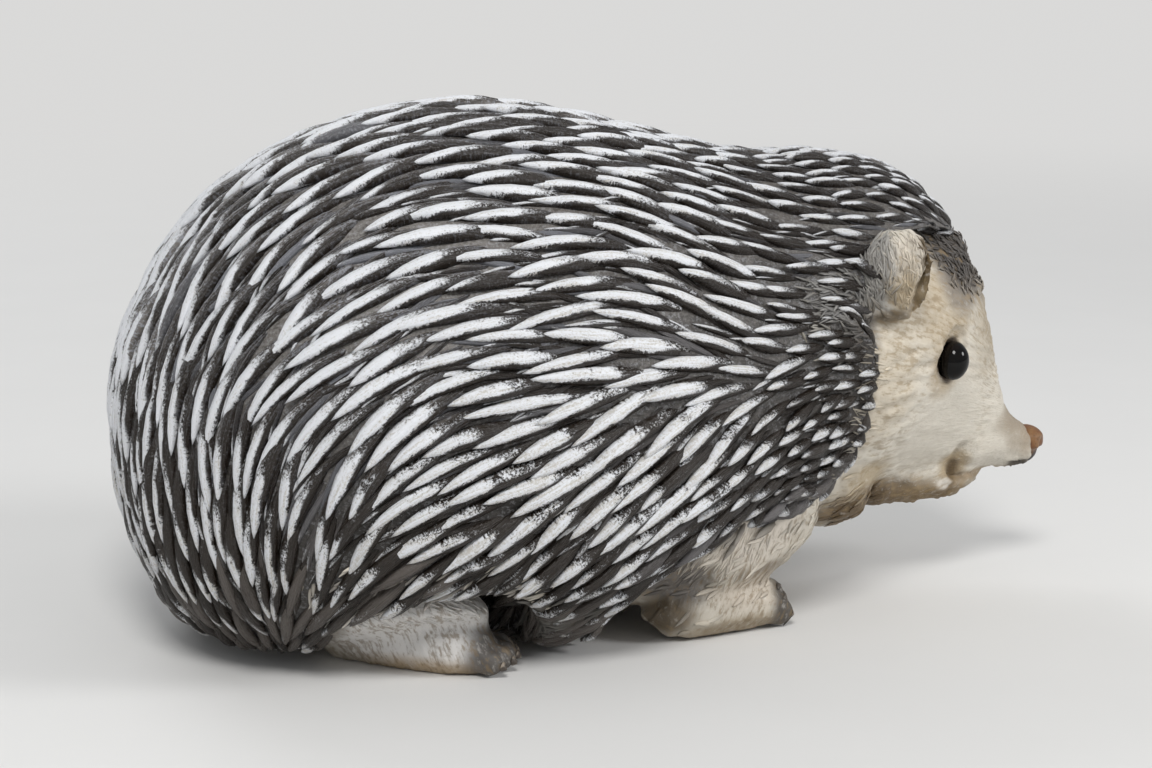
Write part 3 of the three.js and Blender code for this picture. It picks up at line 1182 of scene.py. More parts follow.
@dataclass
class Casting:
    """The flesh of the casting: one skin from nose to rump, with its folds, lids and hair.

    The first five sizes are in metres. The others are in millimetres, or plain numbers.
    """

    nodes: dict[str, Piece]
    fineness: float = 0.66 * MM
    swell: float = 0.3 * MM
    merge: float = 0.00001
    quill_bed: float = 2.25 * MM
    hair_bed: float = 0.3 * MM
    mantle_blend: float = 1.2
    detail_blend: float = 1.5
    detail_kept: float = 0.85
    mantle_rounds: int = 150
    flesh_rounds: int = 34
    last_rounds: int = 5
    weight_steps: int = 20
    faces_kept: float = 0.285
    thinning: float = 5.0
    orbit_reach: float = 4.4
    orbit_depth: Span = (-7, -5)
    lid_groove: float = 4.7
    lid_rim: float = 6.0
    lid_fold: float = 7.9
    lid_width: float = 0.8
    line_width: Span = (5.1, 6.5)
    line_share: float = 0.92
    strands_round: float = 46
    strands_along: float = 0.3
    leg_strands: Point = (0.8, 0.6, 0.22)
    quilled_nodes: tuple[str, ...] = ("trunk", "neck", "crown")
    fine_nodes: tuple[str, ...] = ("ear", "forepaw", "hindfoot", "lower_jaw", "muzzle")
    plain_nodes: tuple[str, ...] = ("head", "throat", "belly", "chest", "foreleg", "haunch")

    def members(self, kinds: Iterable[str]) -> list[str]:
        """Finds the nodes of some kinds.

        Args:
            kinds: Names without their sides.

        Returns:
            The names of the nodes on both sides.
        """
        wanted = tuple(kinds)
        return sorted(
            n for n in self.nodes if n.removesuffix("_left").removesuffix("_right") in wanted
        )

    def flesh(self) -> list[str]:
        """Returns the names of all nodes that the skin stands for."""
        return self.members(self.quilled_nodes + self.fine_nodes + self.plain_nodes)

    def copied(self, name: str) -> Piece:
        """Copies a node.

        Args:
            name: The node's name.

        Returns:
            The copy, its points merged and its walls swollen over the casting's thin cuts.
        """
        piece = linked(f"flesh_{name}", self.nodes[name].data.copy())
        edit(piece)
        bpy.ops.mesh.remove_doubles(threshold=self.merge)
        bpy.ops.mesh.normals_make_consistent(inside=False)
        leave_edit()
        modify(piece, "DISPLACE", strength=self.swell, mid_level=0.0)
        return piece

    def distance(self, names: Iterable[str], points: Array) -> Array:
        """Measures how far points are from some nodes.

        Args:
            names: The nodes' names.
            points: Places in metres.

        Returns:
            Each point's distance from the nearest of the nodes, in millimetres.
        """
        corners: list[Array] = []
        places: list[Array] = []
        count = 0
        for name in names:
            corners.append(corners_of(self.nodes[name]) + count)
            places.append(points_of(self.nodes[name]))
            count += len(places[-1])
        tree = BVHTree.FromPolygons(np.vstack(places).tolist(), np.vstack(corners).tolist())
        return np.array([tree.find_nearest(p)[3] for p in points.tolist()]) / MM

    def group(self, piece: Piece, name: str, weights: Array) -> None:
        """Stores weights as a vertex group, in even steps.

        Args:
            piece: The mesh.
            name: The group's name.
            weights: A number from 0 to 1 for each point.
        """
        made = piece.vertex_groups.new(name=name)
        steps = np.round(np.clip(weights, 0, 1) * self.weight_steps).astype(int)
        for step in range(1, self.weight_steps + 1):
            made.add(np.nonzero(steps == step)[0].tolist(), step / self.weight_steps, "REPLACE")

    def about_bead(self, points: Array) -> tuple[Array, Array, Array]:
        """Measures points from the bead of their side, in millimetres.

        Args:
            points: Places in metres.

        Returns:
            How far each lies before the bead's middle, its distance from the bead's axis, in
            which the oval bead counts as round, and the axis.
        """
        side = np.where(points[:, 1:2] < 0, -1.0, 1.0)
        turn = np.hstack([np.ones_like(side), side, np.ones_like(side)])
        across, up, out = EYE.axes()
        offset = points * turn / MM - EYE.middle
        away = np.hypot(offset @ across * EYE.radii[1] / EYE.radii[0], offset @ up)
        return offset @ out, away, out * turn

    def orbit(self, points: Array) -> Array:
        """Levels the skin round each bead, so that the aperture is an even oval.

        Args:
            points: The skin's points, in metres.

        Returns:
            Where they lie when it is level.
        """
        deep, away, out = self.about_bead(points)
        share = 1 - ramp(away, EYE.radii[1], EYE.radii[1] + self.orbit_reach)
        share *= ramp(deep, *self.orbit_depth)
        return points + out * (share * (EYE.aperture - deep) * MM)[:, None]

    def lids(self, points: Array) -> Array:
        """Shapes the lids: a groove against each bead, a rim, and a fold above it.

        Args:
            points: The skin's points, in metres.

        Returns:
            How far the lids raise each point, in millimetres.
        """
        deep, away, _ = self.about_bead(points)
        upper = ramp(points[:, 2] / MM - EYE.middle[2], -2, 4)
        radii = (self.lid_groove, self.lid_rim, self.lid_fold)
        groove, rim, fold = (np.exp(-(((away - r) / self.lid_width) ** 2)) for r in radii)
        lift = (0.25 + 0.4 * upper) * rim - 0.45 * upper * fold - 0.4 * groove
        return ramp(deep, -5, -2) * lift

    def painted(self, points: Array) -> Array:
        """Plans the paint of the skin.

        Args:
            points: Places on the skin.

        Returns:
            The colour at each, with a dark line round each bead.
        """
        deep, away, _ = self.about_bead(points)
        line = (1 - ramp(away, *self.line_width)) * ramp(deep, -6, -4) * self.line_share
        line = line[:, None]
        return fur_colours(points) * (1 - line) + np.array(LID_LINE) * line

    def carve(self, piece: Piece, quilled: Array) -> None:
        """Cuts the folds, lids and carved hair into the skin.

        Args:
            piece: The skin.
            quilled: How far each point is in the mantle, from 0 to 1.
        """
        points, normals = self.orbit(points_of(piece)), normals_of(piece)
        lift = self.lids(points)
        for fold in (*FOLDS, *SWELLINGS):
            lift += fold.lift(folded(points))
        offset = points / MM - NOSE_TIP_MM
        far = np.linalg.norm(offset, axis=1, keepdims=True)
        strand = offset / far * self.strands_round + far * self.strands_along
        hair = Grain(5).at(strand, 1.5) - 0.5
        curl = Grain(6).at(points / MM, 2.0) - 0.5
        combed = Grain(7).at(combing(points) * self.leg_strands / MM, 1.3) - 0.5
        limb = limbs(points)
        face = (hair * 1.1 + curl * 0.5) * (0.25 + 0.75 * hairiness(points))
        lift += (face * (1 - limb) + (combed * 0.6 + curl * 0.2) * limb) * (1 - quilled)
        lift -= self.hair_bed / MM * (1 - quilled)
        lift -= self.quill_bed / MM * quilled
        moved = points + normals * (lift * MM)[:, None]
        moved[:, 2] = np.maximum(moved[:, 2], 0)
        move_points(piece, moved)

    def build(self, material: Paint) -> Piece:
        """Models the skin.

        Args:
            material: Its paint.

        Returns:
            The skin, with the paint plan stored on its points.
        """
        skin = join([self.copied(name) for name in self.flesh()], "skin")
        modify(skin, "REMESH", mode="VOXEL", voxel_size=self.fineness, adaptivity=0.0)
        points = points_of(skin)
        quilled = self.distance(self.quilled_nodes, points)
        fine = self.distance(self.members(self.fine_nodes), points)
        plain = self.distance(self.members(self.plain_nodes), points)
        between = np.minimum(fine, plain) - quilled
        mantle = ramp(between, -self.mantle_blend, self.mantle_blend)
        detail = ramp(plain - fine, -self.detail_blend, self.detail_blend) * (1 - mantle)
        self.group(skin, "mantle", mantle)
        self.group(skin, "flesh", 1 - detail * self.detail_kept)
        rounds = {"mantle": self.mantle_rounds, "flesh": self.flesh_rounds}
        for name, count in rounds.items():
            modify(skin, "SMOOTH", factor=0.5, iterations=count, vertex_group=name)
        modify(skin, "SMOOTH", factor=0.5, iterations=self.last_rounds)
        self.carve(skin, mantle)

        # The mantle and the underside keep fewer faces.
        under = ramp(-points[:, 2], -0.012, -0.004) * ramp(-points[:, 0], -0.01, 0.01)
        self.group(skin, "thin", np.maximum(mantle, under))
        stamp(skin, "quilled", mantle)
        weighted = {"vertex_group": "thin", "vertex_group_factor": self.thinning}
        modify(skin, "DECIMATE", ratio=self.faces_kept, **weighted)
        settle(skin)
        skin.vertex_groups.clear()
        final = points_of(skin)
        plan = {
            "paint_plan": self.painted(final),
            "wash": UMBER_WASH.at(final),
            "hairy": hairiness(final),
            "limb": limbs(final),
            "lay": combing(final),
        }
        for name, values in plan.items():
            stamp(skin, name, values)
        return dress(skin, material)


# ---------------- tufts


@dataclass(frozen=True)
class Ring:
    """One ring of a blade: its place along it, its half width, and its heights above and below."""

    place: float
    half_width: float
    above: float
    below: float


@dataclass(frozen=True)
class Blade:
    """One tuft, a leaf that points along +X, read as arrays."""

    along: Array
    across: Array
    height: Array
    faces: tuple[tuple[int, ...], ...]

    @staticmethod
    def model(name: str, around: int, rings: Sequence[Ring]) -> "Blade":
        """Models a leaf with a crest, from a sphere drawn out ring by ring.

        Args:
            name: Its name.
            around: Points round each ring.
            rings: Its rings from root to tip.

        Returns:
            The leaf, whose places run from 0 at its root to 1 at its tip.
        """
        bpy.ops.mesh.primitive_uv_sphere_add(segments=around, ring_count=len(rings) + 1, radius=1)
        piece = rename(name)
        edit(piece)
        bpy.ops.transform.rotate(value=math.radians(90), orient_axis="Y", center_override=(0, 0, 0))
        leave_edit()
        start = points_of(piece)
        order = np.sort(np.unique(np.round(start[:, 0], 4)))
        level = np.argmin(np.abs(start[:, 0][:, None] - order[None, :]), axis=1)
        upper = start[:, 2] >= -1e-6
        for index, ring in enumerate(rings, 1):
            chosen = level == index
            width = float(np.abs(start[chosen, 1]).max())
            for part, height in ((upper, ring.above), (~upper, ring.below)):
                select_by(piece, chosen & part)
                grow = (1, 1, height / width)
                bpy.ops.transform.resize(value=grow, center_override=(0, 0, 0))
                leave_edit()
            select_by(piece, chosen)
            grow = (1, ring.half_width / width, 1)
            bpy.ops.transform.resize(value=grow, center_override=(0, 0, 0))
            bpy.ops.transform.translate(value=(ring.place - order[index], 0, 0))
            leave_edit()
        select_by(piece, level == 0)
        bpy.ops.transform.translate(value=(1, 0, 0))
        leave_edit()
        settle(piece)
        points = points_of(piece)
        faces = tuple(tuple(face.vertices) for face in piece.data.polygons)
        blade = Blade(points[:, 0], points[:, 1], points[:, 2], faces)
        bpy.data.objects.remove(piece)
        return blade


# A tuft climbs from its sink to its rise by this power of the way along it.
CLIMB = 0.85
FLOOR_GAP = 0.25 * MM


@dataclass
class Planting:
    """Tufts laid out over the ground: each one's path from root to tip, and its sizes in metres."""

    paths: Array
    ups: Array
    widths: Array
    thickness: Array
    sinks: Array
    rises: Array
    numbers: dict[str, Array] = field(default_factory=dict)
    flipped: Array | None = None

    def chosen(self, mask: Array) -> "Planting":
        """Picks some of the tufts.

        Args:
            mask: True for each tuft to keep.

        Returns:
            Those tufts.
        """
        numbers = {key: values[mask] for key, values in self.numbers.items()}
        flipped = None if self.flipped is None else self.flipped[mask]
        plain = (self.paths, self.ups, self.widths, self.thickness, self.sinks, self.rises)
        return Planting(*(values[mask] for values in plain), numbers, flipped)

    def bend(self, blade: Blade) -> Array:
        """Bends one blade along each path.

        Args:
            blade: The blade.

        Returns:
            The points of each bent copy.
        """
        stations = self.paths.shape[1]
        at = np.clip(blade.along, 0, 1) * (stations - 1)
        low = np.minimum(at.astype(int), stations - 2)
        share = (at - low)[None, :, None]
        run = self.paths[:, 1:] - self.paths[:, :-1]
        heading = np.concatenate([run[:, :1], (run[:, 1:] + run[:, :-1]) / 2, run[:, -1:]], axis=1)
        place = self.paths[:, low] * (1 - share) + self.paths[:, low + 1] * share
        up = unit(self.ups[:, low] * (1 - share) + self.ups[:, low + 1] * share)
        ahead = along_surface(heading[:, low] * (1 - share) + heading[:, low + 1] * share, up)
        side = np.cross(up, ahead)
        lift = self.sinks[:, None] + (self.rises - self.sinks)[:, None] * blade.along**CLIMB
        height = blade.height * self.thickness[:, None] + lift
        across = blade.across * self.widths[:, None] / 2
        points = place + side * across[..., None] + up * height[..., None]
        points[..., 2] = np.maximum(points[..., 2], FLOOR_GAP)
        return points


# Each tuft has a patch of this size on the bake map, set in from its cell's corner by a share.
PATCH = (0.003, 0.003)
PATCH_INSET = 0.3
CORE = (-0.005, 0, 0.045)


def unwrapped(points: Array) -> tuple[Array, Array]:
    """Lays places on the body out flat: its girth as one coordinate, its length as the other.

    Args:
        points: Places on the body, in metres.

    Returns:
        How far round the body's long axis each place is, and how far from its nose, from 0 to 1.
    """
    offset = points - CORE
    girth = np.arctan2(offset[:, 1], offset[:, 2]) / (2 * math.pi) + 0.5
    length = np.arccos(np.clip(unit(offset)[:, 0], -1, 1)) / math.pi
    return girth, length


def patch_corners(roots: Array) -> Array:
    """Finds each tuft a patch of its own on the bake map, at about its root's place.

    Args:
        roots: The tufts' roots.

    Returns:
        The lowest corner of each patch.
    """
    girth, length = unwrapped(roots)
    rows = max(1, round(math.sqrt(len(roots))))
    columns = math.ceil(len(roots) / rows)
    corners = np.empty((len(roots), 2))
    order = np.argsort(length, kind="stable")
    for row in range(rows):
        members = order[row * columns : (row + 1) * columns]
        members = members[np.argsort(girth[members], kind="stable")]
        corners[members, 0] = (np.arange(len(members)) + PATCH_INSET) / columns
        corners[members, 1] = (row + PATCH_INSET) / rows
    return corners


def weave(name: str, blade: Blade, planting: Planting, material: Paint) -> Piece:
    """Joins one copy of a blade for each tuft of a planting into one mesh.

    Args:
        name: The piece's name.
        blade: The blade that repeats.
        planting: Where each one lies.
        material: Their paint.

    Returns:
        The coat piece, with its maps and the tufts' numbers on it.
    """
    points = planting.bend(blade)
    count, each = points.shape[:2]
    sizes = np.array([len(face) for face in blade.faces])
    ring = np.concatenate([np.array(face) for face in blade.faces])
    corners = (ring[None, :] + np.arange(count)[:, None] * each).ravel()
    mesh = bpy.data.meshes.new(name)
    mesh.vertices.add(count * each)
    mesh.loops.add(len(corners))
    mesh.polygons.add(count * len(sizes))
    mesh.vertices.foreach_set("co", points.astype(np.float32).ravel())
    mesh.loops.foreach_set("vertex_index", corners.astype(np.int32))
    starts = np.concatenate([[0], np.cumsum(np.tile(sizes, count))[:-1]])
    mesh.polygons.foreach_set("loop_start", starts.astype(np.int32))
    mesh.update(calc_edges=True)
    mesh.validate()
    piece = linked(name, mesh)
    across = np.tile((blade.across[ring] + 1) / 2, (count, 1))
    if planting.flipped is not None:
        across = np.where(planting.flipped[:, None], 1 - across, across)
    along = np.tile(np.clip(blade.along[ring], 0, 1), (count, 1))
    lanes = {"Blade": np.stack([across, along], -1)}
    patches = patch_corners(planting.paths[:, 0])
    lanes["OFBake"] = patches[:, None, :] + lanes["Blade"] * PATCH
    for key, values in lanes.items():
        layer = mesh.uv_layers.new(name=key)
        layer.data.foreach_set("uv", values.astype(np.float32).ravel())
    for key, values in planting.numbers.items():
        stamp(piece, key, np.repeat(values, each, axis=0))
    pick(piece)
    bpy.ops.object.shade_smooth()
    return dress(piece, material)


@dataclass(frozen=True)
class Comb:
    """Lays tufts over the ground, along paths of some stations that follow a flow.

    The flow gives the lie of the coat for places and their normals. A path may hang for a length
    over an edge, where the ground falls away by a share of a step, and it stops before a surface
    that faces the floor.
    """

    ground: Ground
    flow: Callable[[Array, Array], Array]
    stations: int
    overhang: float = 3.5 * MM
    edge_share: float = 0.55
    edge_slack: float = 0.0006
    downward: float = -0.88
    lowest: float = 0.001
    stop_back: float = 0.3
    least_room: float = 0.34
    steadiness: float = 0.35

    def lay(self, roots: Array, lengths: Array, turns: Array) -> tuple[Array, Array, Array]:
        """Traces each tuft from its root, shorter where its path would end early.

        Args:
            roots: The roots' places.
            lengths: The tufts' lengths.
            turns: Each tuft's own turn off the lie, in radians.

        Returns:
            The places along each path, the ground's normals there, and which roots were kept. A
            tuft with hardly any room is left out.
        """
        paths, ups, room = self.trace(roots, lengths, turns)
        kept = room > self.least_room
        short = kept & (room < 1)
        if short.any():
            cut = self.trace(roots[short], lengths[short] * room[short], turns[short])
            paths[short], ups[short] = cut[0], cut[1]
        return paths[kept], ups[kept], kept

    def trace(self, roots: Array, lengths: Array, turns: Array) -> tuple[Array, Array, Array]:
        """Follows the lie of the coat from each root for a tuft's length.

        Args:
            roots: The roots' places.
            lengths: The tufts' lengths.
            turns: Each tuft's own turn off the lie, in radians.

        Returns:
            The places along each path, the ground's normals there, and the share of each path
            that has room.
        """
        place, up = self.ground.cling(roots)
        places, ups = [place], [up]
        steps = self.stations - 1
        step = (lengths / steps)[:, None]
        room = np.ones(len(roots))
        for station in range(1, self.stations):
            lie = self.flow(place, up)
            lie = lie * np.cos(turns)[:, None] + np.cross(up, lie) * np.sin(turns)[:, None]
            target = place + lie * step
            clung, normal = self.ground.cling(target)
            gap = np.linalg.norm(clung - target, axis=1)
            drop = gap > self.edge_share * step[:, 0] + self.edge_slack
            under = (normal[:, 2] < self.downward) | (clung[:, 2] < self.lowest)
            free = room < 1
            room[under & ~free] = (station - self.stop_back) / steps
            allowed = (station - 1 + self.overhang / step[:, 0]) / steps
            room = np.where(drop & ~free, np.minimum(allowed, 1 - 1e-6), room)
            loose = (room < 1)[:, None]
            place = np.where(loose, target, clung)
            up = np.where(loose, up, unit(normal + up * self.steadiness))
            places.append(place)
            ups.append(up)
        return np.stack(places, 1), np.stack(ups, 1), room


# ---------------- quills


# How far the quills point down from straight back, in degrees.
QUILL_LIE = Chart(
    (-118, -105, -90, -75, -60, -45, -30, -15, 0, 15, 30, 45, 60, 90),
    (15, 35, 55, 75, 95, 115),
    (
        (88, 88, 84, 76, 65, 60), (84, 78, 70, 62, 54, 45), (82, 72, 58, 42, 34, 30),
        (66, 54, 46, 32, 26, 22), (50, 40, 28, 20, 20, 17), (42, 38, 18, 12, 12, 9),
        (44, 42, 22, 5, 0, 3), (40, 42, 26, 4, -7, -9), (50, 36, 28, -6, -14, -13),
        (40, 20, 22, -12, -24, -24), (30, 15, 14, -14, -14, -10), (20, 8, 4, -3, 2, -3),
        (10, 0, 0, -5, -5, -6), (0, 0, 0, 0, -8, -10),
    ),
)
# The quills' lengths and widths, in millimetres.
SIZES_AT = (-118, -100, -80, -20, 0, 12, 22, 33, 45, 60, 75, 92)
QUILL_LENGTH = Chart(
    SIZES_AT,
    (10, 32, 60, 90),
    (
        (15, 26, 33, 34), (14, 25, 31, 32), (14, 24, 30, 31), (15, 26, 29, 30),
        (14, 23, 28, 28), (13, 19, 25, 26), (12, 15, 20, 23), (8, 11, 14, 18.5),
        (7.5, 8.5, 9.5, 16), (7, 8, 9, 14.5), (7, 8, 9, 13.5), (6, 7, 8, 11),
    ),
)
QUILL_WIDTH = Chart(
    SIZES_AT,
    (10, 40, 80),
    (
        (2.9, 3.5, 3.6), (2.9, 3.7, 3.8), (2.9, 4.0, 4.1), (2.7, 4.3, 4.2),
        (2.4, 4.2, 4.1), (2.2, 3.8, 3.8), (2.2, 3.4, 3.5), (2.4, 3.2, 3.1),
        (2.5, 3.1, 2.8), (2.5, 3.1, 2.7), (2.3, 2.8, 2.6), (2.0, 2.4, 2.4),
    ),
)
# How much white the quills carry, up to 1. Below 0 they are bare.
WHITE_PAINT = Chart(
    (-118, -90, -60, -30, 0, 25, 40, 55, 75, 95),
    (10, 30, 55, 85, 120),
    (
        (0.15, 0.35, 0.6, 0.65, 0.5), (0.1, 0.3, 0.65, 0.7, 0.5),
        (0.0, 0.25, 0.65, 0.75, 0.5), (-0.1, 0.2, 0.75, 0.9, 0.5),
        (-0.1, 0.3, 0.8, 0.95, 0.6), (-0.2, 0.1, 0.7, 0.95, 0.7),
        (-0.3, -0.05, 0.25, 0.75, 0.7), (-0.3, -0.15, 0.05, 0.6, 0.65),
        (-0.3, -0.1, 0.05, 0.45, 0.6), (-0.1, 0.0, 0.1, 0.35, 0.6),
    ),
)


# The quills splay sideways by up to a share, which grows over a width in metres.
SPLAY = 0.12
SPLAY_WIDTH = 0.06


def quill_lie(points: Array, normals: Array) -> Array:
    """Finds which way the quills lie.

    Args:
        points: Places on the surface, in metres.
        normals: The surface's normals there.

    Returns:
        The way at each place, along the surface.
    """
    angle = np.radians(QUILL_LIE.at(points))
    splay = np.sin(np.clip(points[:, 1] / SPLAY_WIDTH, -1, 1)) * SPLAY
    way = np.column_stack([-np.cos(angle), splay, -np.sin(angle)])
    return along_surface(way, normals)


# Where the regions of quills part, in millimetres.
RUMP_BEHIND = -88
NAPE_BEFORE = 12
HOOD_BEFORE = 42
HOOD_ABOVE = 60
BACK_ABOVE = 97


class Region(Enum):
    """The parts of the mantle that are cast quills of one piece."""

    RUMP = "rump"
    BACK = "back"
    FLANK_LEFT = "flank_left"
    FLANK_RIGHT = "flank_right"
    NAPE = "nape"
    HOOD = "hood"

    @staticmethod
    def of(roots: Array) -> Array:
        """Sorts roots into regions.

        Args:
            roots: Places in metres.

        Returns:
            The name of the region of each.
        """
        x, y, z = (roots / MM).T
        low = np.where(y > 0, Region.FLANK_LEFT.value, Region.FLANK_RIGHT.value)
        names = np.where(z > BACK_ABOVE, Region.BACK.value, low)
        names = np.where(x < RUMP_BEHIND, Region.RUMP.value, names)
        names = np.where(x > NAPE_BEFORE, Region.NAPE.value, names)
        return np.where((x > HOOD_BEFORE) & (z > HOOD_ABOVE), Region.HOOD.value, names)


@dataclass
class QuillCoat:
    """The mantle of cast quills, each a crested blade with its tip over the roots behind.

    The pitches are shares of a quill's length and width. Lift, thickness and sink are shares of
    its width. The waver and turns are in degrees, and the rim clearance in millimetres. A play is
    how far chance changes a size.
    """

    ground: Ground
    quilled: Array
    pitch_along: float = 0.57
    pitch_across: float = 1.12
    candidates: int = 20000
    lift: float = 0.32
    thickness: float = 0.6
    sink: float = 0.36
    under_share: float = 1.5
    waver: float = 26.0
    rim_clearance: float = 2.2
    root_share: float = 0.46
    sweeps: int = 3
    rounds: int = 10
    dart_gap: float = 0.7
    push_gap: float = 1.15
    push: float = 0.16
    stations: int = 8
    fully_quilled: float = 0.6
    partly_quilled: float = 0.35
    length_play: Span = (0.84, 1.16)
    width_play: Span = (0.85, 1.15)
    rise_play: Span = (0.6, 1.6)
    turn: float = 4.5
    waver_lump: float = 0.02
    upward: Point = (-0.4, 0.0, 0.9)
    paint_play: float = 0.09
    bare_share: float = 0.08
    missed: float = 0.4
    under_size: Span = (0.8, 0.5)
    under_turn: float = 9.0
    under_lift: float = 0.12
    under_paint: Span = (-0.2, 0.3)
    seed: int = 11
    rings: tuple[Ring, ...] = (
        Ring(0.04, 0.34, 0.3, 0.3),
        Ring(0.15, 0.66, 0.66, 0.4),
        Ring(0.32, 0.92, 0.94, 0.4),
        Ring(0.5, 1.0, 1.0, 0.4),
        Ring(0.67, 0.9, 0.88, 0.36),
        Ring(0.82, 0.63, 0.62, 0.3),
        Ring(0.94, 0.27, 0.3, 0.2),
    )

    def pitches(self, places: Array) -> tuple[Array, Array]:
        """Returns how far apart quills lie along and across the coat, wider on the crown."""
        along = QUILL_LENGTH.at(places) * MM * self.pitch_along
        crown = ramp(places[:, 0], 0.005, 0.025) * ramp(places[:, 2], 0.06, 0.08)
        return along, QUILL_WIDTH.at(places) * MM * self.pitch_across + crown * MM

    def spread(self, draw: np.random.Generator) -> Array:
        """Finds places for the quills: staggered, further apart along the coat than across it.

        Args:
            draw: The source of chance.

        Returns:
            The middle of each quill.
        """
        along, across = self.pitches(self.ground.points)
        weights = ramp(self.quilled, 0.35, 0.65) / (along * across)
        weights *= ramp(self.ground.points[:, 2], 0.003, 0.006)
        weights *= ramp(self.ground.normals[:, 2], -0.92, -0.75)
        tries = self.ground.scatter(self.candidates, weights, draw)
        tries, ups = self.ground.cling(tries)
        middles = np.empty((0, 3))
        for _ in range(self.sweeps):
            middles = self.darts(middles, tries, ups)
            middles = self.relax(middles)
        return middles

    def rooted(self, middles: Array, lengths: Array, turns: Array) -> Array:
        """Finds the root of each quill from its middle, ahead of it and inside the mantle.

        Args:
            middles: The quills' middles.
            lengths: Their lengths.
            turns: Each one's own turn off the lie, in radians.

        Returns:
            Their roots.
        """
        reach = lengths * self.root_share
        back = Comb(self.ground, lambda place, up: -quill_lie(place, up), 5)
        paths, _, _ = back.trace(middles, reach, turns)
        roots = middles.copy()
        inside = np.ones(len(middles), bool)
        for station in range(1, 5):
            place = paths[:, station]
            inside &= self.ground.value(place, self.quilled) > self.fully_quilled
            inside &= CHEEK_RIM.away(folded(place)) > self.rim_clearance
            roots[inside] = place[inside]
        return roots

    def darts(self, places: Array, tries: Array, ups: Array) -> Array:
        """Adds each tried place that keeps clear of the places before it.

        Args:
            places: The places so far.
            tries: Places to try, in order.
            ups: The ground's normals there.

        Returns:
            All places.
        """
        along, across = self.pitches(tries)
        ahead = quill_lie(tries, ups)
        side = np.cross(ups, ahead)
        kept = np.empty((len(places) + len(tries), 3))
        count = len(places)
        kept[:count] = places
        for i in range(len(tries)):
            offset = kept[:count] - tries[i]
            far = (offset @ ahead[i] / along[i]) ** 2 + (offset @ side[i] / across[i]) ** 2
            far += (offset @ ups[i] / along[i]) ** 2
            if count == 0 or far.min() > self.dart_gap:
                kept[count] = tries[i]
                count += 1
        return kept[:count].copy()

    def relax(self, places: Array) -> Array:
        """Pushes places that are too close apart, over the surface.

        Args:
            places: The places.

        Returns:
            Where they come to lie.
        """
        for _ in range(self.rounds):
            places, ups = self.ground.cling(places)
            along, across = self.pitches(places)
            ahead = quill_lie(places, ups)
            side = np.cross(ups, ahead)
            offset = places[None, :, :] - places[:, None, :]
            a = np.einsum("ijk,ik->ij", offset, ahead) / along[:, None]
            b = np.einsum("ijk,ik->ij", offset, side) / across[:, None]
            c = np.einsum("ijk,ik->ij", offset, ups) / along[:, None]
            far = np.sqrt(a * a + b * b + c * c) + 1e-6
            np.fill_diagonal(far, 2 * self.push_gap)
            push = np.where(far < self.push_gap, (self.push_gap - far) / far * self.push, 0)
            places = places - ahead * ((push * a).sum(1) * along)[:, None]
            places = places - side * ((push * b).sum(1) * across)[:, None]
        return self.ground.cling(places)[0]

    def plant(self, middles: Array, draw: np.random.Generator, under: bool) -> Planting:
        """Lays a quill at each place.

        Args:
            middles: The quills' middles.
            draw: The source of chance.
            under: True for the short dull quills that fill the ground between the others.

        Returns:
            The quills that keep clear of the mantle's edge.
        """
        count = len(middles)
        shortness, slimness = self.under_size if under else (1.0, 1.0)
        lengths = QUILL_LENGTH.at(middles) * MM * shortness * draw.uniform(*self.length_play, count)
        widths = QUILL_WIDTH.at(middles) * MM * slimness * draw.uniform(*self.width_play, count)
        turns = np.radians(draw.normal(0, self.under_turn if under else self.turn, count))
        waver = Grain(self.seed).at(middles, self.waver_lump) - 0.5
        turns += np.radians(self.waver * waver)
        roots = self.rooted(middles, lengths, turns)
        comb = Comb(self.ground, quill_lie, self.stations)
        paths, ups, kept = comb.lay(roots, lengths, turns)
        based = self.ground.value(paths[:, 3], self.quilled) > self.partly_quilled
        kept[np.nonzero(kept)[0][~based]] = False
        paths, ups = paths[based], ups[based]
        count = len(paths)
        roots, widths = roots[kept], widths[kept]
        # Which side of each quill faces up: the white leans to it and the other side darkens,
        # partly painted light and painted shade.
        side = np.cross(ups[:, 0], unit(paths[:, 2] - paths[:, 0]))
        facing = side @ unit(np.array(self.upward))

        # Some are left bare, and low down the brush has often missed them.
        paint = WHITE_PAINT.at(roots) + draw.normal(0, self.paint_play, count)
        paint -= np.where(draw.random(count) < self.bare_share, 0.5, 0)
        paint -= np.abs(draw.normal(0, self.missed, count)) * ramp(-roots[:, 2], -0.05, -0.02)
        if under:
            paint = draw.uniform(*self.under_paint, count)
        numbers = {
            "chance": draw.random(count),
            "paint": np.clip(paint, -0.5, 1.05),
            "wash": UMBER_WASH.at(roots),
            "facing": np.clip(np.abs(facing) * 1.3, 0, 1),
        }
        rises = widths * (self.under_lift if under else self.lift)
        rises *= draw.uniform(*self.rise_play, count)
        thickness = widths * self.thickness * draw.uniform(*self.width_play, count)
        sinks = -widths * self.sink
        return Planting(paths, ups, widths, thickness, sinks, rises, numbers, facing > 0)

    def build(self, material: Paint) -> list[Piece]:
        """Makes the coat.

        Args:
            material: The quills' paint.

        Returns:
            Its pieces, one for each region.
        """
        draw = np.random.default_rng(self.seed)
        blade = Blade.model("quill", 8, self.rings)
        middles = self.spread(draw)
        LOG.info("quills: %d", len(middles))
        top = self.plant(middles, draw, under=False)
        inner = ramp(self.quilled, 0.5, 0.8) * ramp(self.ground.points[:, 2], 0.004, 0.008)
        spots = self.ground.scatter(int(len(middles) * self.under_share), inner, draw)
        low = self.plant(spots, draw, under=True)
        pieces = []
        for region in Region:
            both = [p.chosen(Region.of(p.paths[:, 0]) == region.value) for p in (top, low)]
            pieces.append(weave(f"quills_{region.value}", blade, joined(both), material))
        return pieces


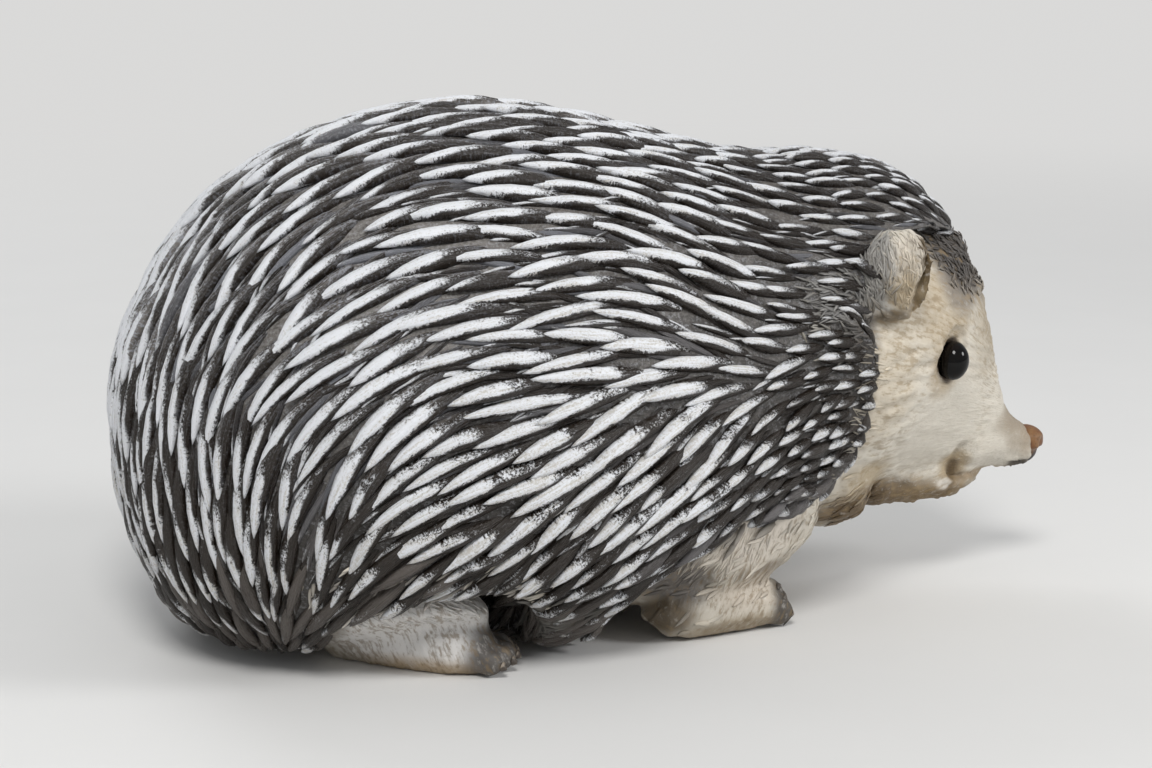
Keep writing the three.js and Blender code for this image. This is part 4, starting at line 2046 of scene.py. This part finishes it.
def joined(plantings: Sequence[Planting]) -> Planting:
    """Puts plantings together as one.

    Args:
        plantings: The plantings, all with the same numbers.

    Returns:
        One that holds all their tufts.
    """
    keys = ("paths", "ups", "widths", "thickness", "sinks", "rises")
    plain = [np.concatenate([getattr(p, key) for p in plantings]) for key in keys]
    numbers = {
        key: np.concatenate([p.numbers[key] for p in plantings]) for key in plantings[0].numbers
    }
    if plantings[0].flipped is None:
        return Planting(*plain, numbers)
    return Planting(*plain, numbers, np.concatenate([p.flipped for p in plantings]))


# ---------------- cast hair


class Lie(Enum):
    """Which way short hair lies: by a rule of its own, or along a fixed way."""

    FACE = "away from the nose"
    RUFF = "back and out, over the first quills"
    QUILLS = "as the quills"
    EAR = (-0.25, 0, 1)
    BREAST = (-0.8, 0, -0.45)
    LEG = (-0.4, 0, -0.9)
    SKIRT = (-0.72, 0, -0.7)
    FOOT = (0.75, 0, -0.6)

    def flow(self, points: Array, normals: Array) -> Array:
        """Finds which way the hair lies.

        Args:
            points: Places on the surface, in metres.
            normals: The surface's normals there.

        Returns:
            The way at each place, along the surface.
        """
        if self is Lie.QUILLS:
            return quill_lie(points, normals)
        side = np.sign(points[:, 1])[:, None]
        if self is Lie.FACE:
            way = points - NOSE_TIP
        elif self is Lie.RUFF:
            way = unit(points - RUFF_POLE) + side * (0, 0.55, 0)
        else:
            way = np.tile(self.value, (len(points), 1))
        if self is Lie.BREAST:
            way = way + side * (0, 0.25, 0)
        return along_surface(way, normals)


RUFF_POLE = (0.119, 0, 0.045)
ZONE_EDGE = 0.06


@dataclass(frozen=True)
class Zone:
    """Hair of one kind: where it grows, in millimetres, on both sides, and its tufts' sizes.

    With a line, it grows along that line instead, within the first number of its reach.
    """

    middle: Point
    reach: Point
    density: float
    length: float
    width: float
    rise: float
    lie: Lie
    jitter: float = 12.0
    quilled: Span = (0.0, 0.4)
    shade: float = 1.0
    line: Crease | None = None

    def share(self, points: Array, quilled: Array) -> Array:
        """Finds how thickly the hair grows.

        Args:
            points: Places in metres.
            quilled: How far each is in the mantle, from 0 to 1.

        Returns:
            A number from 0 to 1 for each point.
        """
        low, high = self.quilled
        inside = ramp(quilled, low - ZONE_EDGE, low) * ramp(-quilled, -high - ZONE_EDGE, -high)
        if self.line is not None:
            return inside * np.exp(-((self.line.away(folded(points)) / self.reach[0]) ** 2))
        return inside * ColourPatch(self.middle, self.reach, CREAM).share(points)


ANY = (0.0, 1.0)
# Each zone's middle, reach, tufts to a square millimetre, length, width, rise, lie, jitter in
# degrees, span in the mantle, and shade.
ZONES = {
    "hair_ruff": (
        Zone((0, 0, 0), (1.2, 0, 0), 0.8, 3.8, 0.55, 0.3, Lie.RUFF, 18, ANY, 0.45, CHEEK_RIM),
        Zone((60, 42, 58), (6, 8, 24), 0.12, 4.0, 0.9, 0.1, Lie.FACE, 10),
    ),
    "hair_brow": (
        Zone((91.5, 0, 87), (14, 31, 12), 0.75, 3.6, 0.9, 0.6, Lie.FACE, 34, (0.0, 0.4)),
    ),
    "hair_ears": (
        Zone((64.5, 44.5, 90), (5, 7, 11), 1.0, 3.0, 0.55, 0.22, Lie.EAR, 22, (0.0, 0.9)),
        Zone((55, 43, 86), (6, 9, 13), 1.2, 5.0, 0.7, 0.6, Lie.EAR, 20, (0.0, 0.5), 0.8),
        Zone((49, 44, 83), (8, 8, 12), 0.7, 5.6, 0.8, 0.7, Lie.RUFF, 24, (0.3, 1.0), 0.42),
    ),
    "hair_breast": (
        Zone((52, 20, 26), (22, 26, 10), 0.08, 5.5, 1.2, 0.3, Lie.BREAST, 14, (0.0, 0.8)),
        Zone((14, 22, 14), (40, 26, 14), 0.04, 6.0, 1.4, 0.3, Lie.BREAST, 14, (0.0, 0.8)),
    ),
    "hair_fore": (
        Zone((18, 46, 27), (19, 10, 12), 0.5, 4.4, 0.6, 0.12, Lie.LEG, 12, (0.0, 0.35)),
    ),
    "hair_hind": (
        Zone((-64, 46, 19), (22, 15, 6), 0.3, 3.8, 0.6, 0.1, Lie.FOOT, 12, (0.0, 0.6)),
    ),
    "hair_skirt": (
        Zone((16, 54, 29), (24, 14, 11), 0.16, 9.5, 1.9, 0.9, Lie.QUILLS, 14, (0.3, 0.9), 0.36),
        Zone((-58, 58, 23), (34, 10, 9), 0.2, 6.0, 1.1, 0.4, Lie.QUILLS, 16, (0.2, 1.0)),
        Zone((20, 50, 31), (28, 12, 9), 0.6, 9.0, 2.3, 1.5, Lie.SKIRT, 13, (0.07, 0.55), 0.4),
        # Dark locks fill the hollow between the hind foot and the skirt, partly painted shade.
        Zone((-26, 50, 14), (13, 14, 9), 0.22, 8.5, 1.8, 0.9, Lie.QUILLS, 16, (0.1, 1.0), 0.1),
    ),
}


@dataclass
class HairCoat:
    """The short cast hair, in small flat locks where it breaks the form.

    A play is how far chance changes a size.
    """

    ground: Ground
    quilled: Array
    stations: int = 4
    thickness: float = 0.34
    sink: float = 0.22
    length_play: Span = (0.7, 1.25)
    width_play: Span = (0.75, 1.3)
    rise_play: Span = (0.5, 1.5)
    tint_play: float = 0.07
    seed: int = 23
    rings: tuple[Ring, ...] = (
        Ring(0.08, 0.5, 0.5, 0.3),
        Ring(0.35, 1.0, 0.9, 0.35),
        Ring(0.65, 0.85, 0.7, 0.3),
        Ring(0.88, 0.4, 0.35, 0.2),
    )

    def plant(self, zone: Zone, draw: np.random.Generator) -> Planting:
        """Lays the tufts of one zone.

        Args:
            zone: Where and how they grow.
            draw: The source of chance.

        Returns:
            The tufts.
        """
        ground = self.ground
        weights = zone.share(ground.points, self.quilled)
        weights *= ramp(ground.points[:, 2], 0.0008, 0.003)
        areas = ground.areas() / MM**2
        count = int((areas * weights[ground.corners].mean(1)).sum() * zone.density)
        roots = ground.scatter(count, weights, draw)
        lengths = zone.length * MM * draw.uniform(*self.length_play, count)
        widths = zone.width * MM * draw.uniform(*self.width_play, count)
        turns = np.radians(draw.normal(0, zone.jitter, count))
        comb = Comb(ground, zone.lie.flow, self.stations)
        paths, ups, kept = comb.lay(roots, lengths, turns)
        count, widths = len(paths), widths[kept]
        tint = zone.shade * draw.normal(1, self.tint_play, count)[:, None]
        colours = fur_colours(paths[:, 0]) * tint
        numbers = {"chance": draw.random(count), "paint_plan": np.clip(colours, 0.01, 0.85)}
        rises = zone.rise * MM * draw.uniform(*self.rise_play, count)
        sinks = -widths * self.sink
        return Planting(paths, ups, widths, widths * self.thickness, sinks, rises, numbers)

    def build(self, material: Paint) -> list[Piece]:
        """Makes the coat.

        Args:
            material: The hair's paint.

        Returns:
            Its pieces.
        """
        draw = np.random.default_rng(self.seed)
        blade = Blade.model("lock", 5, self.rings)
        pieces = []
        for name, zones in ZONES.items():
            parts = [self.plant(zone, draw) for zone in zones]
            pieces.append(weave(name, blade, joined(parts), material))
        return pieces


# ---------------- eyes, nose, claws


@dataclass
class Eyes:
    """The two bead eyes, set in their sockets.

    A bead narrows to its back size behind its waist, which lies at a share of its depth. From a
    multiple of that share, its front bulges.
    """

    waist: float = 0.55
    back_size: float = 0.6
    front: float = 1.3
    bulge: float = 0.12 * MM

    def build(self, side: int, material: Paint) -> Piece:
        """Models one bead: an oval, drawn in behind, with a slightly fuller front.

        Args:
            side: 1 for the left one, or -1 for the right one.
            material: Its glaze.

        Returns:
            The bead.
        """
        bpy.ops.mesh.primitive_uv_sphere_add(segments=40, ring_count=24, radius=MM)
        eye = rename("eye_bead_left" if side > 0 else "eye_bead_right")
        edit(eye)
        bpy.ops.transform.resize(value=EYE.radii)
        back = EYE.radii[2] * MM * self.waist
        reselect(eye, lambda co: co.z < -back)
        bpy.ops.transform.resize(value=(self.back_size,) * 3, center_override=(0, 0, -back))
        reselect(eye, lambda co: co.z > back * self.front)
        bpy.ops.transform.translate(value=(0, 0, self.bulge))
        soften()
        across, up, out = (Vector(mirrored(tuple(axis), side)) for axis in EYE.axes())
        turn = Matrix((across * side, up, out)).transposed().to_4x4()
        eye.matrix_world = Matrix.Translation(Vector(mirrored(EYE.middle, side)) * MM) @ turn
        settle(eye)
        return dress(eye, material)


@dataclass
class Nose:
    """The nose, a soft wedge with two nostrils and a groove under it.

    The nostril's dents are the radius and depth of each push, in millimetres. The top and the
    lower part start at shares of the half height.
    """

    backward: float = 3.2
    nostril: Point = (119.6, 3.1, 34.2)
    dents: tuple[Span, ...] = ((1.9, 0.35), (1.25, 0.6), (0.8, 0.5))
    dent_spread: float = 1.35
    top_from: float = 0.35
    top_scale: Point = (1, 1.05, 0.72)
    low_from: float = 0.2
    low_scale: Point = (0.86, 0.72, 1)
    groove_half: float = 0.55
    groove: Point = (-0.5, 0, 0.1)

    def build(self, material: Paint) -> Piece:
        """Models it in the place of its node.

        Args:
            material: Its paint.

        Returns:
            The nose.
        """
        low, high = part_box("nose")
        back = low.x - self.backward * MM
        middle = Vector(((back + high.x) / 2, 0, (low.z + high.z) / 2))
        half = Vector(((high.x - back) / 2, (high.y - low.y) / 2, (high.z - low.z) / 2))
        bpy.ops.mesh.primitive_uv_sphere_add(segments=28, ring_count=18, radius=1, location=middle)
        nose = rename("nose_tip")
        nose.scale = half
        pick(nose)
        bpy.ops.object.transform_apply(location=True, rotation=False, scale=True)
        modify(nose, "SUBSURF", levels=1, render_levels=1)
        top = middle.z + half.z * self.top_from
        edit(nose, lambda co: co.z > top)
        bpy.ops.transform.resize(value=self.top_scale, center_override=(middle.x, 0, top))
        bottom = middle.z - half.z * self.low_from
        reselect(nose, lambda co: co.z < bottom)
        bpy.ops.transform.resize(value=self.low_scale, center_override=(back, 0, bottom))
        for side in (-1, 1):
            hole = Vector(mirrored(self.nostril, side)) * MM
            for radius, depth in self.dents:
                reselect(nose, lambda co: (co - hole).length < radius * MM * self.dent_spread)
                bpy.ops.transform.translate(value=(-depth * MM, -side * 0.25 * depth * MM, 0))
        line = self.groove_half * MM
        reselect(nose, lambda co: abs(co.y) < line and co.z < middle.z and co.x > middle.x)
        bpy.ops.transform.translate(value=Vector(self.groove) * MM)
        soften()
        settle(nose)
        return dress(nose, material)


@dataclass(frozen=True)
class Toes:
    """A foot's fan of toes: its middle, heading in degrees, width and toe length in millimetres."""

    name: str
    middle: Point
    heading: float
    width: float
    reach: float
    claw: float
    count: int = 4
    splay: float = 24.0
    arc: float = 6.0

    def tips(self) -> list[tuple[Point, float]]:
        """Finds the left foot's toes.

        Returns:
            Where each one ends, in millimetres, and its heading in radians.
        """
        angle = math.radians(self.heading)
        found = []
        for i in range(self.count):
            share = i / (self.count - 1) - 0.5
            back = self.arc * share**2
            x = self.middle[0] - math.sin(angle) * share * self.width - math.cos(angle) * back
            y = self.middle[1] + math.cos(angle) * share * self.width - math.sin(angle) * back
            way = math.radians(self.heading + self.splay * share)
            tip = (x + math.cos(way) * self.reach, y + math.sin(way) * self.reach, self.middle[2])
            found.append((tip, way))
        return found


TOES = (
    Toes("fore", (35.0, 27.0, 3.4), -12.0, 12.0, 4.3, 1.0),
    Toes("hind", (-39.5, 45.5, 3.0), 26.0, 12.5, 4.9, 1.4),
)


@dataclass
class Claws:
    """The claws of one foot, short curved spikes."""

    toes: Toes
    thickness: float = 1.45
    steps: int = 5
    droop: float = 0.3
    taper: float = 0.85
    taper_curve: float = 1.4
    pitch: float = 8

    def breadth(self, share: float) -> float:
        """Returns a claw's breadth at a share of its length."""
        return 1 - self.taper * share**self.taper_curve

    def spike(self, name: str) -> Piece:
        """Models one claw.

        Args:
            name: Its name.

        Returns:
            The claw, which points along +X from the origin.
        """
        radius = self.thickness * MM
        bpy.ops.mesh.primitive_circle_add(vertices=8, radius=radius, fill_type="NGON")
        claw = rename(name)
        edit(claw)
        bpy.ops.transform.rotate(value=math.radians(90), orient_axis="Y", center_override=(0, 0, 0))
        length = self.toes.claw * MM
        droop = -self.droop * length
        for step in range(1, self.steps + 1):
            share = step / self.steps
            at = Vector((length * share, 0, droop * share**2))
            move = Vector((length / self.steps, 0, droop * (2 * step - 1) / self.steps**2))
            bpy.ops.mesh.extrude_region_move(TRANSFORM_OT_translate={"value": move})
            size = self.breadth(share) / self.breadth((step - 1) / self.steps)
            bpy.ops.transform.resize(value=(1, size, size), center_override=at)
        bpy.ops.mesh.select_all(action="SELECT")
        leave_edit()
        modify(claw, "SUBSURF", levels=1, render_levels=1)
        return claw

    def build(self, side: int, material: Paint) -> Piece:
        """Copies the claw to each toe of one foot and joins the copies.

        Args:
            side: 1 for the left foot, or -1 for the right one.
            material: Their paint.

        Returns:
            The foot's claws as one piece.
        """
        name = f"claws_{self.toes.name}_{'left' if side > 0 else 'right'}"
        model = self.spike(name)
        copies = []
        for place, heading in self.toes.tips():
            copy = linked(name, model.data.copy())
            copy.location = Vector(mirrored(place, side)) * MM
            copy.rotation_euler = (0, math.radians(self.pitch), heading * side)
            copies.append(copy)
        bpy.data.objects.remove(model)
        claws = join(copies, name)
        settle(claws)
        return dress(claws, material)


# ---------------- studio


@dataclass(frozen=True)
class Lamp:
    """A soft lamp: its place, size and power."""

    name: str
    place: Point
    size: float
    power: float
    colour: Colour = (1.0, 1.0, 1.0)


BACKDROP = (0.7, 0.697, 0.69)
SKY_LIGHT = (0.96, 0.98, 1.0)


@dataclass
class Studio:
    """A plain pale floor and soft light, and the camera."""

    azimuth: float = -16.0
    elevation: float = 12.0
    distance: float = 0.65
    target: Point = (-0.0065, 0.0, 0.057)
    lens: float = 81.25
    sensor: float = 36.0
    floor_size: float = 16.0
    floor_fade: Span = (0.35, 1.1)
    floor_dark: Colour = (0.7, 0.695, 0.685)
    floor_pale: Colour = (0.73, 0.725, 0.715)
    sky: float = 0.42
    lamps: tuple[Lamp, ...] = (
        Lamp("lamp_key", (-0.25, -0.8, 1.0), 0.4, 8.5, (1.0, 0.99, 0.97)),
        Lamp("lamp_front", (1.15, -0.7, 0.75), 0.45, 9.0),
        Lamp("lamp_far", (-0.4, 1.2, 0.9), 0.9, 6.0, (0.98, 0.99, 1.0)),
    )

    def floor(self) -> None:
        """Lays the floor, which fades into the backdrop far from the ornament."""
        bpy.ops.mesh.primitive_plane_add(size=self.floor_size, location=(0, 0, 0))
        floor = rename("floor")
        modify(floor, "SUBSURF", levels=2, render_levels=2, subdivision_type="SIMPLE")
        graph = Graph("pale_floor")
        place = graph.place()
        away = graph.maths("LENGTH", {0: place}, "Value").step(*self.floor_fade)
        colour = graph.mix(graph.noise(place, 18, 3, 0.6), self.floor_dark, self.floor_pale)
        surface = {"Base Color": colour, "Roughness": 0.8}
        near = graph.signal("BsdfPrincipled", None, surface)
        far = graph.signal("Emission", None, {"Color": BACKDROP, "Strength": 1.0})
        seen = graph.signal("LightPath", output="Is Camera Ray")
        blend = graph.signal("MixShader", None, {0: away * seen, 1: near, 2: far})
        graph.node("OutputMaterial", None, {"Surface": blend})
        dress(floor, graph.owner)

    def light(self) -> None:
        """Hangs the lamps."""
        for lamp in self.lamps:
            data = bpy.data.lights.new(lamp.name, "AREA")
            data.shape = "DISK"
            data.size = lamp.size
            data.energy = lamp.power
            data.color = lamp.colour
            made = linked(lamp.name, data)
            made.location = lamp.place
            aim = Vector(self.target) - Vector(lamp.place)
            made.rotation_euler = aim.to_track_quat("-Z", "Y").to_euler()

    def skylight(self) -> None:
        """Sets the sky: a soft light, seen by the camera as the plain backdrop."""
        graph = Graph("plain_sky", sky=True)
        seen = graph.signal("LightPath", output="Is Camera Ray")
        glow = {"Color": SKY_LIGHT, "Strength": self.sky}
        lit = graph.signal("Background", None, glow)
        shown = graph.signal("Background", None, {"Color": BACKDROP, "Strength": 1.0})
        blend = graph.signal("MixShader", None, {0: seen, 1: lit, 2: shown})
        graph.node("OutputWorld", None, {"Surface": blend})
        bpy.context.scene.world = graph.owner

    def camera(self) -> None:
        """Sets up the camera."""
        azimuth, elevation = math.radians(self.azimuth), math.radians(self.elevation)
        flat = math.cos(elevation)
        way = Vector((math.sin(azimuth) * flat, -math.cos(azimuth) * flat, math.sin(elevation)))
        data = bpy.data.cameras.new("camera")
        data.lens = self.lens
        data.sensor_width = self.sensor
        data.clip_start = 0.02
        made = linked("camera", data)
        made.location = Vector(self.target) + way * self.distance
        made.rotation_euler = (-way).to_track_quat("-Z", "Y").to_euler()
        bpy.context.scene.camera = made

    def build(self) -> None:
        """Sets the whole studio."""
        bpy.context.scene.view_settings.view_transform = "Standard"
        self.floor()
        self.light()
        self.skylight()
        self.camera()


# ---------------- the ornament


def enrol(piece: Piece, slot: str | None = None, *nodes: str) -> None:
    """Sets a piece on the body.

    Args:
        piece: The piece.
        slot: The name of its material slot, if it has one. It is not used.
        *nodes: The nodes that it replaces.
    """
    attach(piece, "root")
    if nodes:
        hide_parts(*nodes)
    piece.data.calc_loop_triangles()
    LOG.info("%s: %d triangles", piece.name, len(piece.data.loop_triangles))


def main() -> None:
    """Builds the hedgehog over its frame."""
    logging.basicConfig(level=logging.INFO, format="%(name)s: %(message)s")
    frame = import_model()
    Studio().build()

    casting = Casting(frame["nodes"])
    skin = casting.build(SkinFinish().material())
    enrol(skin, "fur", *casting.flesh())
    ground = Ground(skin)
    quilled = read(skin, "quilled")

    for piece in QuillCoat(ground, quilled).build(QuillFinish().material()):
        enrol(piece, "quills")
    for piece in HairCoat(ground, quilled).build(FurFinish().material()):
        enrol(piece, "fur")

    glass = BeadFinish().material()
    horn = ClawFinish().material()
    for side, name in ((1, "eye_left"), (-1, "eye_right")):
        enrol(Eyes().build(side, glass), "eyes", name)
    enrol(Nose().build(NoseFinish().material()), "nose", "nose")
    for toes in TOES:
        for side in (1, -1):
            enrol(Claws(toes).build(side, horn))


if __name__ == "__main__":
    main()
